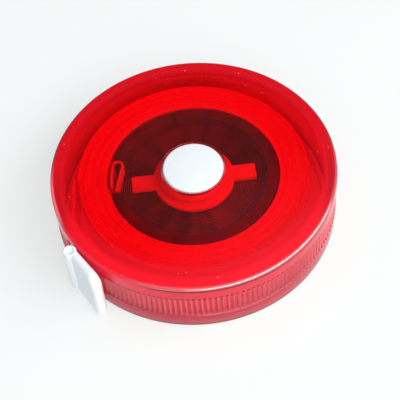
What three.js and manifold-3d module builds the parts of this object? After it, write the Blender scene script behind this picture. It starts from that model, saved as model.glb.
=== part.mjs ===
// Round push-button tape measure: a spring-return sewing tape in a two-part case.
// Millimetres, +Z up. The origin is the centre of the case's underside.

import * as THREE from 'three';
import { mergeVertices } from 'three/addons/utils/BufferGeometryUtils.js';
import Module from 'manifold-3d';

const wasm = await Module();
wasm.setup();

// Tape
const TAPE_LENGTH = 1500;
const TAPE_WIDTH = 7.6;
const TAPE_THICKNESS = 0.415;
const TURN_RISE = 0.25;
const LOOSE_LAYER_GAP = 0.1;
const TURN_END_GAP = 3;
const LOOP_TONGUE_LIFT = 0.2;
const LOOP_LENGTH = 3.4;
const LOOP_TAIL = 0.8;
const LOOP_TAIL_RISE = 1.1;

// Drum and its anchor pin
const DRUM_RADIUS = 14.8;
const DRUM_WALL = 1.9;
const DRUM_SKIRT = 0.8;
const DRUM_TO_TAPE_GAP = 0.1;
const DRUM_WALL_LIFT = 0.2;
const WEB_THICKNESS = 0.6;
const HUB_WALL = 0.8;
const HUB_DROP = 0.3;
const HUB_RISE = 0.2;
const ANCHOR_PIN_RADIUS = 0.45;
const ANCHOR_ANGLE = 166;
const ANCHOR_CLEARANCE = 0.2;
const WINDOW_MARGIN = 0.5;

// Case
const SIDE_WALL = 1.6;
const TOP_WALL = 1.2;
const FLOOR_WALL = 1.2;
const PACK_ROOM = 2.9;
const TAPE_FLOOR_GAP = 0.5;
const TAPE_COVER_GAP = 0.9;
const CASE_EDGE = 0.5;
const LOWER_BAND_HEIGHT = 2;
const RIB_FOOT = 1.3;
const RIB_BAND_HEIGHT = 4.9;
const RIB_COUNT = 170;
const RIB_DEPTH = 0.4;
const RIB_INSET = 0.1;
const RIB_ROOT = 0.1;
const SPIGOT_WALL = 0.6;
const SPIGOT_HEIGHT = 1.2;
const SPIGOT_CLEARANCE = 0.3;

// Tape slot in the case wall
const SLOT_ANGLE = 177.6;
const SLOT_SIDE_CLEARANCE = 0.6;
const SLOT_TOP_CLEARANCE = 0.5;
const LEAD_CLEARANCE = 0.3;
const LEAD_TO_TONGUE_GAP = 0.3;
const LEAD_SETBACK = 0.6;

// Centre post and button
const POST_RADIUS = 2.9;
const POST_BORE = 1.8;
const POST_NECK_STEP = 0.5;
const POST_NECK_RISE = 0.3;
const POST_SLOT = 1.2;
const RUNNING_CLEARANCE = 0.1;
const BUTTON_RADIUS = 5.3;
const BUTTON_CLEARANCE = 0.3;
const BUTTON_RISE = 0.4;
const BUTTON_DOME = 0.25;
const BUTTON_EDGE = 0.35;
const BUTTON_CAP = 1;
const BUTTON_SKIRT_WALL = 0.8;
const BUTTON_FLANGE_WIDTH = 0.9;
const BUTTON_FLANGE_THICKNESS = 0.7;
const BUTTON_TRAVEL = 0.8;
const BUTTON_STEM_RADIUS = 1.4;
const BUTTON_TIP_RADIUS = 0.6;
const STOP_CLEARANCE = 0.1;

// Brake
const YOKE_THICKNESS = 0.5;
const YOKE_WIDTH = 4.3;
const YOKE_CLEARANCE = 0.4;
const YOKE_BAR_CLEARANCE = 0.1;
const YOKE_FLOOR_GAP = 0.05;
const PAD_THICKNESS = 0.35;
const PAD_MARGIN = 0.35;
const PAD_RUB_GAP = 0.05;

// Springs and the retainer over the mainspring
const MAINSPRING_WIDTH = 3.4;
const MAINSPRING_THICKNESS = 0.25;
const MAINSPRING_TURNS = 12;
const MAINSPRING_START = 3.7;
const MAINSPRING_TAIL_BEND = 0.6;
const MAINSPRING_CLEARANCE = 0.25;
const MAINSPRING_SLIT_CLEARANCE = 0.3;
const RETAINER_RADIUS = 7.1;
const RETAINER_SETBACK = 1.17;
const RETAINER_ARM_WIDTH = 3;
const RETAINER_THICKNESS = 0.8;
const RETAINER_GAP = 0.3;
const RETAINER_BORE_CLEARANCE = 0.05;
const RETAINER_ANGLE = 2;
const RETURN_SPRING_RADIUS = 3.6;
const RETURN_SPRING_WIRE = 0.35;
const RETURN_SPRING_TURNS = 3.5;

// Pull tab
const BARREL_RADIUS = 1.15;
const BARREL_BORE = 0.7;
const BARREL_GAP = 0.15;
const BARREL_FOOT = 0.6;
const BARREL_HEAD = 1.9;
const BARREL_DISH_RADIUS = 0.85;
const BARREL_DISH_DEPTH = 0.6;
const LEAF_NEAR_REACH = 0.45;
const LEAF_FAR_REACH = 1;
const LEAF_GAP = 0.2;
const LEAF_LENGTH = 7.7;
const LEAF_FOOT = 1.3;
const LEAF_HEAD = 1.9;
const LEAF_TOP_CORNER = 2;
const LEAF_LOW_CORNER = 1;
const TAB_SWING = 60;
const TAB_SLIT_CLEARANCE = 0.1;
const TAB_PIN_RADIUS = 0.3;
const HEM_THICKNESS = 0.25;
const HEM_CLEARANCE = 0.05;
const TONGUE_SLIT_CLEARANCE = 0.3;

// Facets
const SHELL_SIDES = 60;
const RING_SIDES = 36;
const PIN_SIDES = 16;
const LOOP_STEPS = 24;
const ARC_STEPS = 3;
const CURL_STEPS = 10;
const WIRE_SIDES = 5;
const MERGE_DISTANCE = 1e-4;
const CUT_PAST = 1;

// Radii worked out from the sizes above
const drumInner = DRUM_RADIUS - DRUM_WALL;
const drumSkirtInner = DRUM_RADIUS - DRUM_SKIRT;
const packInner = DRUM_RADIUS + DRUM_TO_TAPE_GAP;
const packOuter = Math.sqrt(packInner ** 2 + (TAPE_LENGTH * TAPE_THICKNESS) / Math.PI);
const caseInner = packOuter + PACK_ROOM;
const caseOuter = caseInner + SIDE_WALL;
const ribCrest = caseOuter - RIB_INSET;
const ribValley = ribCrest - RIB_DEPTH;
const ribBacking = ribValley - RIB_ROOT;
const buttonHole = BUTTON_RADIUS + BUTTON_CLEARANCE;
const hubBore = POST_RADIUS + RUNNING_CLEARANCE;
const hubOuter = hubBore + HUB_WALL;
const postNeck = POST_RADIUS - POST_NECK_STEP;
const yokeInner = hubOuter + YOKE_CLEARANCE;
const yokeOuter = yokeInner + YOKE_WIDTH;
const leadDistance = packOuter + LEAD_CLEARANCE + TAPE_THICKNESS / 2;

// Heights worked out from the sizes above
const tapeLow = FLOOR_WALL + TAPE_FLOOR_GAP;
const tapeTop = tapeLow + TAPE_WIDTH;
const ceiling = tapeTop + TAPE_COVER_GAP;
const caseTop = ceiling + TOP_WALL;
const ribLow = LOWER_BAND_HEIGHT + RIB_FOOT;
const ribTop = ribLow + RIB_BAND_HEIGHT;
const yokeLow = FLOOR_WALL + BUTTON_TRAVEL + YOKE_FLOOR_GAP;
const yokeTop = yokeLow + YOKE_THICKNESS;
const padTop = yokeTop + PAD_THICKNESS;
const webLow = padTop + PAD_RUB_GAP;
const webTop = webLow + WEB_THICKNESS;
const shoulderTop = webLow - HUB_DROP;
const springLow = webTop + MAINSPRING_CLEARANCE;
const springTop = springLow + MAINSPRING_WIDTH;
const retainerLow = springTop + RETAINER_GAP;
const retainerTop = retainerLow + RETAINER_THICKNESS;
const buttonTop = caseTop + BUTTON_RISE;
const capUnder = buttonTop - BUTTON_CAP;
const flangeTop = ceiling - STOP_CLEARANCE;
const barrelLow = tapeLow - BARREL_FOOT;
const barrelTop = tapeTop + BARREL_HEAD;
const leafLow = tapeLow - LEAF_FOOT;
const leafTop = tapeTop + LEAF_HEAD;

// Directions of the tape's straight run out of the case, in the XY plane
const slotTurn = THREE.MathUtils.degToRad(SLOT_ANGLE);
const leadNormal = new THREE.Vector3(Math.cos(slotTurn), Math.sin(slotTurn), 0);
const leadAlong = new THREE.Vector3(-Math.sin(slotTurn), Math.cos(slotTurn), 0);

/** Point on the tape's straight run, a distance past the place where it leaves the winding. */
function onLead(distance) {
  return leadNormal.clone().multiplyScalar(leadDistance).addScaledVector(leadAlong, distance);
}

/** Distance along the straight run at which it reaches a radius from the drum's axis. */
function leadReach(radius) {
  return Math.sqrt(radius ** 2 - leadDistance ** 2);
}

const barrelOrbit = caseOuter + BARREL_GAP + BARREL_RADIUS;
const barrelCentre = onLead(leadReach(barrelOrbit));
const barrelAngle = Math.atan2(barrelCentre.y, barrelCentre.x);

/** Closed geometry as a solid that can be joined and cut. */
function toSolid(geometry) {
  const bare = new THREE.BufferGeometry();
  bare.setAttribute('position', geometry.getAttribute('position').clone());
  if (geometry.index) bare.setIndex(geometry.index.clone());
  const merged = mergeVertices(bare, MERGE_DISTANCE);
  const corners = merged.index.array;
  const triangles = [];
  for (let i = 0; i < corners.length; i += 3) {
    const [a, b, c] = corners.slice(i, i + 3);
    if (a !== b && b !== c && c !== a) triangles.push(a, b, c);
  }
  return new wasm.Manifold(new wasm.Mesh({
    numProp: 3,
    vertProperties: new Float32Array(merged.getAttribute('position').array),
    triVerts: new Uint32Array(triangles),
  }));
}

/** Solid as a geometry with shared corners. */
function toGeometry(solid) {
  const mesh = solid.getMesh();
  const geometry = new THREE.BufferGeometry();
  geometry.setAttribute('position', new THREE.BufferAttribute(new Float32Array(mesh.vertProperties), 3));
  geometry.setIndex(new THREE.BufferAttribute(new Uint32Array(mesh.triVerts), 1));
  return geometry;
}

/** Solid turned about Z from a profile of [radius, height] pairs, listed anticlockwise. */
function turned(profile, sides) {
  const points = profile.map(([radius, height]) => new THREE.Vector2(radius, height));
  const onAxis = points[0].x === 0;
  if (!onAxis) points.push(points[0].clone());
  return toSolid(new THREE.LatheGeometry(points, sides).rotateX(Math.PI / 2));
}

/** Plain ring about Z. */
function ring(inner, outer, low, top, sides = RING_SIDES) {
  return turned([[inner, low], [outer, low], [outer, top], [inner, top]], sides);
}

/** Upright cylinder about a point. */
function upright(radius, low, top, centre = new THREE.Vector3(), sides = PIN_SIDES) {
  const rod = new THREE.CylinderGeometry(radius, radius, top - low, sides).rotateX(Math.PI / 2);
  return toSolid(rod.translate(centre.x, centre.y, (low + top) / 2));
}

/** Outline in the XY plane raised between two heights. */
function raised(shape, low, top) {
  const options = { depth: top - low, bevelEnabled: false };
  return toSolid(new THREE.ExtrudeGeometry(shape, options).translate(0, 0, low));
}

/** Bar in the XY plane, its length along an angle from a start point. */
function bar(start, angle, length, width, low, top) {
  const box = new THREE.BoxGeometry(length, width, top - low).translate(length / 2, 0, (low + top) / 2);
  return toSolid(box.rotateZ(angle).translate(start.x, start.y, 0));
}

/** Points of a quarter round in a profile, from one angle to another, in degrees. */
function rounded(radius, height, size, from, to) {
  return Array.from({ length: ARC_STEPS + 1 }, (_, i) => {
    const turn = THREE.MathUtils.degToRad(from + ((to - from) * i) / ARC_STEPS);
    return [radius + size * Math.cos(turn), height + size * Math.sin(turn)];
  });
}

/** Point at a radius and an angle in radians, at a height. */
function polar(radius, angle, height = 0) {
  return new THREE.Vector3(radius * Math.cos(angle), radius * Math.sin(angle), height);
}

/** Section of [side, up] pairs carried along a path, with flat ends: one unbroken closed body. */
function carried(path, section) {
  const count = section.length;
  const positions = [];
  path.forEach((point, i) => {
    const before = path[Math.max(i - 1, 0)];
    const after = path[Math.min(i + 1, path.length - 1)];
    const along = after.clone().sub(before).normalize();
    const side = new THREE.Vector3(along.y, -along.x, 0).normalize();
    const up = side.clone().cross(along);
    for (const [sideways, upward] of section) {
      const corner = point.clone().addScaledVector(side, sideways).addScaledVector(up, upward);
      positions.push(corner.x, corner.y, corner.z);
    }
  });
  const triangles = [];
  for (let i = 0; i + 1 < path.length; i += 1) {
    for (let j = 0; j < count; j += 1) {
      const a = i * count + j;
      const b = i * count + ((j + 1) % count);
      triangles.push(a, b + count, b, a, a + count, b + count);
    }
  }
  const last = (path.length - 1) * count;
  for (let j = 1; j + 1 < count; j += 1) {
    triangles.push(0, j, j + 1, last, last + j + 1, last + j);
  }
  const geometry = new THREE.BufferGeometry();
  geometry.setAttribute('position', new THREE.Float32BufferAttribute(positions, 3));
  geometry.setIndex(triangles);
  return geometry;
}

/** Flat strip section: its thickness across the path and its width upright. */
function stripSection(thickness, width) {
  const [side, up] = [thickness / 2, width / 2];
  return [[side, -up], [side, up], [-side, up], [-side, -up]];
}

/** Least clear distance of a wound path to itself, leaving out near neighbours along it. */
function selfGap(path, thickness, apart) {
  const travelled = [0];
  for (let i = 1; i < path.length; i += 1) {
    travelled.push(travelled[i - 1] + path[i].distanceTo(path[i - 1]));
  }
  let least = Infinity;
  for (let i = 0; i < path.length; i += 1) {
    for (let j = i + 1; j < path.length; j += 1) {
      if (travelled[j] - travelled[i] > apart) least = Math.min(least, path[i].distanceTo(path[j]));
    }
  }
  return least - thickness;
}

/** Prints a wound piece's least gap to itself. */
function reportGap(name, path, thickness, apart) {
  console.log(`${name}: least gap to itself ${selfGap(path, thickness, apart).toFixed(2)} mm`);
}

/** Slot through the case wall for the tape, from inside the spigot to past the outside. */
function tapeSlot() {
  const from = leadReach(caseInner - SPIGOT_CLEARANCE - SPIGOT_WALL) - CUT_PAST;
  const length = leadReach(caseOuter) + CUT_PAST * 2 - from;
  const width = TAPE_THICKNESS + SLOT_SIDE_CLEARANCE * 2;
  const heading = slotTurn + Math.PI / 2;
  return bar(onLead(from), heading, length, width, FLOOR_WALL, tapeTop + SLOT_TOP_CLEARANCE);
}

/** Ring of fine upright ribs with a sharp crest and valley each. */
function ribRing() {
  const outline = Array.from({ length: RIB_COUNT * 2 }, (_, i) => {
    const point = polar(i % 2 ? ribValley : ribCrest, (i * Math.PI) / RIB_COUNT);
    return new THREE.Vector2(point.x, point.y);
  });
  const shape = new THREE.Shape(outline);
  const inside = (caseInner + ribBacking) / 2;
  const hole = Array.from({ length: SHELL_SIDES }, (_, i) => {
    const point = polar(inside, (-2 * Math.PI * i) / SHELL_SIDES);
    return new THREE.Vector2(point.x, point.y);
  });
  shape.holes.push(new THREE.Path(hole));
  return raised(shape, ribLow - RIB_ROOT, ribTop + RIB_ROOT);
}

/** Cover with its top plate, button hole and ribbed wall. */
function upperCase() {
  const shell = turned([
    [caseInner, LOWER_BAND_HEIGHT],
    [caseOuter, LOWER_BAND_HEIGHT],
    [caseOuter, ribLow],
    [ribBacking, ribLow],
    [ribBacking, ribTop],
    [caseOuter, ribTop],
    ...rounded(caseOuter - CASE_EDGE, caseTop - CASE_EDGE, CASE_EDGE, 0, 90),
    [buttonHole, caseTop],
    [buttonHole, ceiling],
    [caseInner, ceiling],
  ], SHELL_SIDES);
  return shell.add(ribRing()).subtract(tapeSlot());
}

/** Base with its floor, wall, spigot and split centre post. */
function lowerCase() {
  const spigotOuter = caseInner - SPIGOT_CLEARANCE;
  const spigotInner = spigotOuter - SPIGOT_WALL;
  const spigotTop = LOWER_BAND_HEIGHT + SPIGOT_HEIGHT;
  const neckTop = retainerTop + POST_NECK_RISE;
  const shell = turned([
    [0, 0],
    ...rounded(caseOuter - CASE_EDGE, CASE_EDGE, CASE_EDGE, -90, 0),
    [caseOuter, LOWER_BAND_HEIGHT],
    [spigotOuter, LOWER_BAND_HEIGHT],
    [spigotOuter, spigotTop],
    [spigotInner, spigotTop],
    [spigotInner, FLOOR_WALL],
    [hubOuter, FLOOR_WALL],
    [hubOuter, shoulderTop],
    [POST_RADIUS, shoulderTop],
    [POST_RADIUS, retainerLow],
    [postNeck, retainerLow],
    [postNeck, neckTop],
    [POST_BORE, neckTop],
    [POST_BORE, FLOOR_WALL],
    [0, FLOOR_WALL],
  ], SHELL_SIDES);
  const reach = hubOuter + CUT_PAST;
  const start = new THREE.Vector3(0, -reach, 0);
  const split = bar(start, Math.PI / 2, reach * 2, POST_SLOT, FLOOR_WALL, neckTop + CUT_PAST);
  return shell.subtract(split).subtract(tapeSlot());
}

/** Button: domed cap, skirt with a stop flange, and the stem that carries the brake. */
function pushButton() {
  const skirtInner = BUTTON_RADIUS - BUTTON_SKIRT_WALL;
  const flangeOuter = BUTTON_RADIUS + BUTTON_FLANGE_WIDTH;
  const shoulder = buttonTop - BUTTON_DOME;
  return turned([
    [0, yokeLow],
    [BUTTON_TIP_RADIUS, yokeLow],
    [BUTTON_TIP_RADIUS, yokeTop],
    [BUTTON_STEM_RADIUS, yokeTop],
    [BUTTON_STEM_RADIUS, capUnder],
    [skirtInner, capUnder],
    [skirtInner, flangeTop - BUTTON_FLANGE_THICKNESS],
    [flangeOuter, flangeTop - BUTTON_FLANGE_THICKNESS],
    [flangeOuter, flangeTop],
    [BUTTON_RADIUS, flangeTop],
    ...rounded(BUTTON_RADIUS - BUTTON_EDGE, shoulder - BUTTON_EDGE, BUTTON_EDGE, 0, 90),
    [BUTTON_RADIUS / 2, buttonTop - BUTTON_DOME / 4],
    [0, buttonTop],
  ], RING_SIDES);
}

/** Ring with two arms that keeps the mainspring and the brake's post together. */
function springRetainer() {
  const bore = postNeck + RETAINER_BORE_CLEARANCE;
  const disc = ring(bore, RETAINER_RADIUS, retainerLow, retainerTop);
  const middle = (bore + RETAINER_RADIUS) / 2;
  const turn = THREE.MathUtils.degToRad(RETAINER_ANGLE);
  return [turn, turn + Math.PI].reduce((whole, angle) => {
    const length = springEnd - RETAINER_SETBACK - middle;
    const start = polar(middle, angle);
    return whole.add(bar(start, angle, length, RETAINER_ARM_WIDTH, retainerLow, retainerTop));
  }, disc);
}

/** Brake ring under the drum, with a cross bar through the post's split to the button's stem. */
function brakeYoke() {
  const hoop = ring(yokeInner, yokeOuter, yokeLow, yokeTop);
  const middle = (yokeInner + yokeOuter) / 2;
  const width = POST_SLOT - YOKE_BAR_CLEARANCE * 2;
  const start = new THREE.Vector3(0, -middle, 0);
  const cross = bar(start, Math.PI / 2, middle * 2, width, yokeLow, yokeTop);
  const boss = upright(POST_BORE - YOKE_CLEARANCE, yokeLow, yokeTop);
  const tip = BUTTON_TIP_RADIUS + RUNNING_CLEARANCE;
  return hoop.add(cross).add(boss).subtract(upright(tip, yokeLow - CUT_PAST, yokeTop + CUT_PAST));
}

/** Felt ring that lies on the yoke and rubs the drum's web. */
function brakePad() {
  return ring(yokeInner + PAD_MARGIN, yokeOuter - PAD_MARGIN, yokeTop, padTop);
}

// Inner end of the tape: a loop round the anchor pin, worked out about the pin's centre
const anchorTurn = THREE.MathUtils.degToRad(ANCHOR_ANGLE);
const loopBend = ANCHOR_PIN_RADIUS + ANCHOR_CLEARANCE + TAPE_THICKNESS / 2;
const anchorOrbit = packInner - ANCHOR_CLEARANCE - TAPE_THICKNESS / 2 - loopBend;
const anchorCentre = polar(anchorOrbit, anchorTurn);
const loopSweep = LOOP_LENGTH / anchorOrbit;

/** Middle line of the inner loop: along the winding, round the pin and back to a short tail. */
function innerLoopPath() {
  const height = (webTop + LOOP_TONGUE_LIFT + tapeTop) / 2;
  const outerLeg = anchorOrbit + loopBend;
  const innerLeg = anchorOrbit - loopBend;
  const tailSweep = loopSweep + LOOP_TAIL / anchorOrbit;
  const legSteps = LOOP_STEPS / 3;
  const path = [];
  for (let i = 0; i < legSteps; i += 1) {
    path.push(polar(outerLeg, anchorTurn + loopSweep * (1 - i / legSteps), height));
  }
  for (let i = 0; i <= legSteps; i += 1) {
    const round = polar(loopBend, anchorTurn - (Math.PI * i) / legSteps, height);
    path.push(round.add(anchorCentre));
  }
  for (let i = 1; i <= legSteps; i += 1) {
    const share = i / legSteps;
    path.push(polar(innerLeg + LOOP_TAIL_RISE * share, anchorTurn + tailSweep * share, height));
  }
  return path;
}

/** Inner end of the tape, narrowed to stand on the drum's web. */
function tapeInnerLoop() {
  const path = innerLoopPath();
  reportGap('tape_inner_loop', path, TAPE_THICKNESS, Math.PI * loopBend);
  const width = tapeTop - webTop - LOOP_TONGUE_LIFT;
  return toSolid(carried(path, stripSection(TAPE_THICKNESS, width)));
}

// Mainspring: where its outer end turns out to the drum's wall
const springEnd = anchorOrbit - loopBend - TAPE_THICKNESS / 2 - ANCHOR_CLEARANCE - MAINSPRING_THICKNESS;
const springSweep = MAINSPRING_TURNS * 2 * Math.PI;
const springStartTurn = Math.PI / 2 + MAINSPRING_TAIL_BEND / MAINSPRING_START;
const springEndTurn = springStartTurn + springSweep;
const springSlitTurn = springEndTurn + MAINSPRING_TAIL_BEND / springEnd;

/** Middle line of the mainspring: out of the post's split, round its turns, into the drum's wall. */
function mainspringPath() {
  const height = (springLow + springTop) / 2;
  const steps = MAINSPRING_TURNS * LOOP_STEPS;
  const innerTip = (POST_BORE + POST_RADIUS) / 2;
  const outerTip = (drumInner + DRUM_RADIUS) / 2;
  const innerBend = MAINSPRING_START - MAINSPRING_TAIL_BEND;
  const path = [polar(innerTip, Math.PI / 2, height), polar(innerBend, Math.PI / 2, height)];
  for (let i = 0; i <= steps; i += 1) {
    const share = i / steps;
    const radius = MAINSPRING_START + (springEnd - MAINSPRING_START) * share;
    path.push(polar(radius, springStartTurn + springSweep * share, height));
  }
  path.push(polar(springEnd + MAINSPRING_TAIL_BEND, springSlitTurn, height));
  path.push(polar(outerTip, springSlitTurn, height));
  return path;
}

/** Spiral of flat spring steel. */
function mainspring() {
  const path = mainspringPath();
  reportGap('mainspring', path, MAINSPRING_THICKNESS, MAINSPRING_START * 2);
  return toSolid(carried(path, stripSection(MAINSPRING_THICKNESS, MAINSPRING_WIDTH)));
}

/** Opening in the drum's wall that the tape's inner loop lies in. */
function loopWindow() {
  const margin = WINDOW_MARGIN / anchorOrbit;
  const low = anchorTurn - (loopBend + TAPE_THICKNESS / 2) / anchorOrbit - margin;
  const high = anchorTurn + loopSweep + LOOP_TAIL / anchorOrbit + margin;
  const shape = new THREE.Shape();
  shape.absarc(0, 0, DRUM_RADIUS + CUT_PAST, low, high, false);
  shape.absarc(0, 0, drumInner - CUT_PAST, high, low, true);
  return raised(shape, webTop, tapeTop + CUT_PAST);
}

/** Spool: hub on the post, web, and the wall that the tape is wound on. */
function drum() {
  const wallLow = tapeLow + DRUM_WALL_LIFT;
  const spool = turned([
    [hubBore, shoulderTop],
    [hubOuter, shoulderTop],
    [hubOuter, webLow],
    [drumSkirtInner, webLow],
    [drumSkirtInner, wallLow],
    [DRUM_RADIUS, wallLow],
    [DRUM_RADIUS, tapeTop],
    [drumInner, tapeTop],
    [drumInner, webTop],
    [hubOuter, webTop],
    [hubOuter, webTop + HUB_RISE],
    [hubBore, webTop + HUB_RISE],
  ], SHELL_SIDES);
  const slitWidth = MAINSPRING_THICKNESS + MAINSPRING_SLIT_CLEARANCE * 2;
  const slitStart = polar(drumInner - CUT_PAST, springSlitTurn);
  const slitLength = DRUM_WALL + CUT_PAST * 2;
  const slit = bar(slitStart, springSlitTurn, slitLength, slitWidth, webTop, tapeTop + CUT_PAST);
  const socketRadius = ANCHOR_PIN_RADIUS + RUNNING_CLEARANCE;
  const socket = upright(socketRadius, webLow - CUT_PAST, webTop + CUT_PAST, anchorCentre);
  return spool.subtract(loopWindow()).subtract(slit).subtract(socket);
}

/** Pin in the drum's web that the tape's inner loop goes round. */
function anchorPin() {
  return upright(ANCHOR_PIN_RADIUS, webLow, tapeTop, anchorCentre);
}

// Winding: one loose outer turn over a plain core
const turnEnd = packOuter - TAPE_THICKNESS / 2;
const turnStart = turnEnd - TURN_RISE;
const coreOuter = turnStart - TAPE_THICKNESS / 2 - LOOSE_LAYER_GAP;

/** Tight inner layers of the winding. */
function tapeCore() {
  return ring(packInner, coreOuter, tapeLow, tapeTop, SHELL_SIDES);
}

/** Outer layer of the winding, which ends where the straight run begins. */
function tapeOuterTurn() {
  const sweep = 2 * Math.PI - TURN_END_GAP / turnEnd;
  const height = (tapeLow + tapeTop) / 2;
  const path = Array.from({ length: SHELL_SIDES + 1 }, (_, i) => {
    const share = i / SHELL_SIDES;
    return polar(turnStart + TURN_RISE * share, slotTurn - sweep * (1 - share), height);
  });
  reportGap('tape_outer_turn', path, TAPE_THICKNESS, turnEnd);
  return toSolid(carried(path, stripSection(TAPE_THICKNESS, TAPE_WIDTH)));
}

const leadEnd = leadReach(caseOuter) - LEAD_SETBACK;

/** Straight run of tape from the winding into the slot. */
function tapeLead() {
  return bar(onLead(0), slotTurn + Math.PI / 2, leadEnd, TAPE_THICKNESS, tapeLow, tapeTop);
}

/** End of the tape, from the slot to the hem round the tab's pin. */
function tapeTongue() {
  const start = leadEnd + LEAD_TO_TONGUE_GAP;
  const bore = TAB_PIN_RADIUS + HEM_CLEARANCE;
  const hem = upright(bore + HEM_THICKNESS, tapeLow, tapeTop, barrelCentre);
  const length = leadReach(barrelOrbit) - start;
  const strip = bar(onLead(start), slotTurn + Math.PI / 2, length, TAPE_THICKNESS, tapeLow, tapeTop);
  const passage = upright(bore, tapeLow - CUT_PAST, tapeTop + CUT_PAST, barrelCentre);
  return hem.add(strip).subtract(passage);
}

/** Pin through the tape's hem. */
function tabPin() {
  const low = tapeLow - TONGUE_SLIT_CLEARANCE;
  const top = tapeTop + TONGUE_SLIT_CLEARANCE;
  return upright(TAB_PIN_RADIUS, low, top, barrelCentre);
}

/** Flat leaf of the tab beside the case wall, thicker and rounded at its free end. */
function tabLeaf() {
  const inward = barrelOrbit - caseOuter - LEAF_GAP;
  const endRadius = (inward + LEAF_FAR_REACH) / 2;
  const endStart = LEAF_LENGTH - endRadius;
  const plan = new THREE.Shape();
  plan.moveTo(0, -LEAF_NEAR_REACH);
  plan.lineTo(endStart, -LEAF_FAR_REACH);
  plan.absarc(endStart, inward - endRadius, endRadius, -Math.PI / 2, Math.PI / 2, false);
  plan.lineTo(0, inward);
  const [low, top] = [LEAF_LOW_CORNER, LEAF_TOP_CORNER];
  const face = new THREE.Shape();
  face.moveTo(-CUT_PAST, leafLow);
  face.lineTo(LEAF_LENGTH - low, leafLow);
  face.absarc(LEAF_LENGTH - low, leafLow + low, low, -Math.PI / 2, 0, false);
  face.absarc(LEAF_LENGTH - top, leafTop - top, top, 0, Math.PI / 2, false);
  face.lineTo(-CUT_PAST, leafTop);
  const depth = inward + LEAF_FAR_REACH + CUT_PAST * 2;
  const options = { depth, bevelEnabled: false, curveSegments: ARC_STEPS };
  const block = new THREE.ExtrudeGeometry(face, options).rotateX(Math.PI / 2);
  const outline = toSolid(block.translate(0, inward + CUT_PAST, 0));
  const heading = THREE.MathUtils.radToDeg(barrelAngle) + 90;
  const leaf = raised(plan, leafLow, leafTop).intersect(outline);
  return leaf.rotate([0, 0, heading]).translate([barrelCentre.x, barrelCentre.y, 0]);
}

/** Pull tab: barrel with its bore, dished top and side slit for the tape, and the leaf. */
function endTab() {
  const barrel = upright(BARREL_RADIUS, barrelLow, barrelTop, barrelCentre, RING_SIDES / 2);
  const slitTop = tapeTop + TONGUE_SLIT_CLEARANCE;
  const bore = upright(BARREL_BORE, -CUT_PAST, slitTop, barrelCentre);
  const dishLow = barrelTop - BARREL_DISH_DEPTH;
  const dish = upright(BARREL_DISH_RADIUS, dishLow, barrelTop + CUT_PAST, barrelCentre);
  const margin = Math.asin((TAPE_THICKNESS / 2 + TAB_SLIT_CLEARANCE) / BARREL_BORE);
  const near = slotTurn - Math.PI / 2 - margin;
  const far = slotTurn - Math.PI / 2 + THREE.MathUtils.degToRad(TAB_SWING) + margin;
  const reach = BARREL_RADIUS + CUT_PAST;
  const corner = polar(reach, near).add(barrelCentre);
  const wedge = new THREE.Shape();
  wedge.moveTo(barrelCentre.x, barrelCentre.y);
  wedge.lineTo(corner.x, corner.y);
  wedge.absarc(barrelCentre.x, barrelCentre.y, reach, near, far, false);
  const slitLow = tapeLow - TONGUE_SLIT_CLEARANCE;
  const slit = raised(wedge, slitLow, slitTop);
  return tabLeaf().add(barrel).subtract(bore).subtract(dish).subtract(slit);
}

/** Coil under the button's cap, standing on the retainer. */
function returnSpring() {
  const wire = RETURN_SPRING_WIRE / 2;
  const low = retainerTop + wire;
  const rise = capUnder - wire - low;
  const steps = RETURN_SPRING_TURNS * CURL_STEPS;
  const path = Array.from({ length: steps + 1 }, (_, i) => {
    const share = i / steps;
    return polar(RETURN_SPRING_RADIUS, 2 * Math.PI * RETURN_SPRING_TURNS * share, low + rise * share);
  });
  reportGap('return_spring', path, RETURN_SPRING_WIRE, RETURN_SPRING_RADIUS * 2);
  const section = Array.from({ length: WIRE_SIDES }, (_, i) => {
    const turn = (2 * Math.PI * i) / WIRE_SIDES;
    return [wire * Math.cos(turn), wire * Math.sin(turn)];
  });
  return toSolid(carried(path, section));
}

const redPlastic = { color: 0xd3121f, roughness: 0.12, metalness: 0, transparent: true, opacity: 0.55 };
const whitePlastic = { color: 0xf2f2ee, roughness: 0.3, metalness: 0 };
const blackPlastic = { color: 0x26221f, roughness: 0.5, metalness: 0 };
const springSteel = { color: 0x4a4a50, roughness: 0.35, metalness: 1 };
const brightSteel = { color: 0xb8babd, roughness: 0.25, metalness: 1 };
const tapeCloth = { color: 0xf1efe6, roughness: 0.7, metalness: 0 };
const felt = { color: 0x5d5a55, roughness: 0.95, metalness: 0 };

const pieces = [
  ['upper_case', upperCase(), redPlastic],
  ['lower_case', lowerCase(), redPlastic],
  ['spring_retainer', springRetainer(), whitePlastic],
  ['return_spring', returnSpring(), brightSteel],
  ['tape_lead', tapeLead(), tapeCloth],
  ['push_button', pushButton(), whitePlastic],
  ['brake_yoke', brakeYoke(), blackPlastic],
  ['brake_pad', brakePad(), felt],
  ['drum', drum(), blackPlastic],
  ['anchor_pin', anchorPin(), brightSteel],
  ['tape_core', tapeCore(), tapeCloth],
  ['tape_outer_turn', tapeOuterTurn(), tapeCloth],
  ['tape_inner_loop', tapeInnerLoop(), tapeCloth],
  ['mainspring', mainspring(), springSteel],
  ['tape_tongue', tapeTongue(), tapeCloth],
  ['tab_pin', tabPin(), brightSteel],
  ['end_tab', endTab(), whitePlastic],
];

const tapeMeasure = new THREE.Group();
for (const [name, solid, finish] of pieces) {
  const mesh = new THREE.Mesh(toGeometry(solid), new THREE.MeshStandardMaterial(finish));
  mesh.name = name;
  tapeMeasure.add(mesh);
}

export default tapeMeasure;
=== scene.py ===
"""Looks of a round push-button sewing tape measure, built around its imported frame."""

import logging
import math
from dataclasses import dataclass, replace
from enum import Enum
from typing import Callable, Mapping, Optional, Sequence, Union

import bmesh
import bpy
import numpy as np
from mathutils import Matrix


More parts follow.
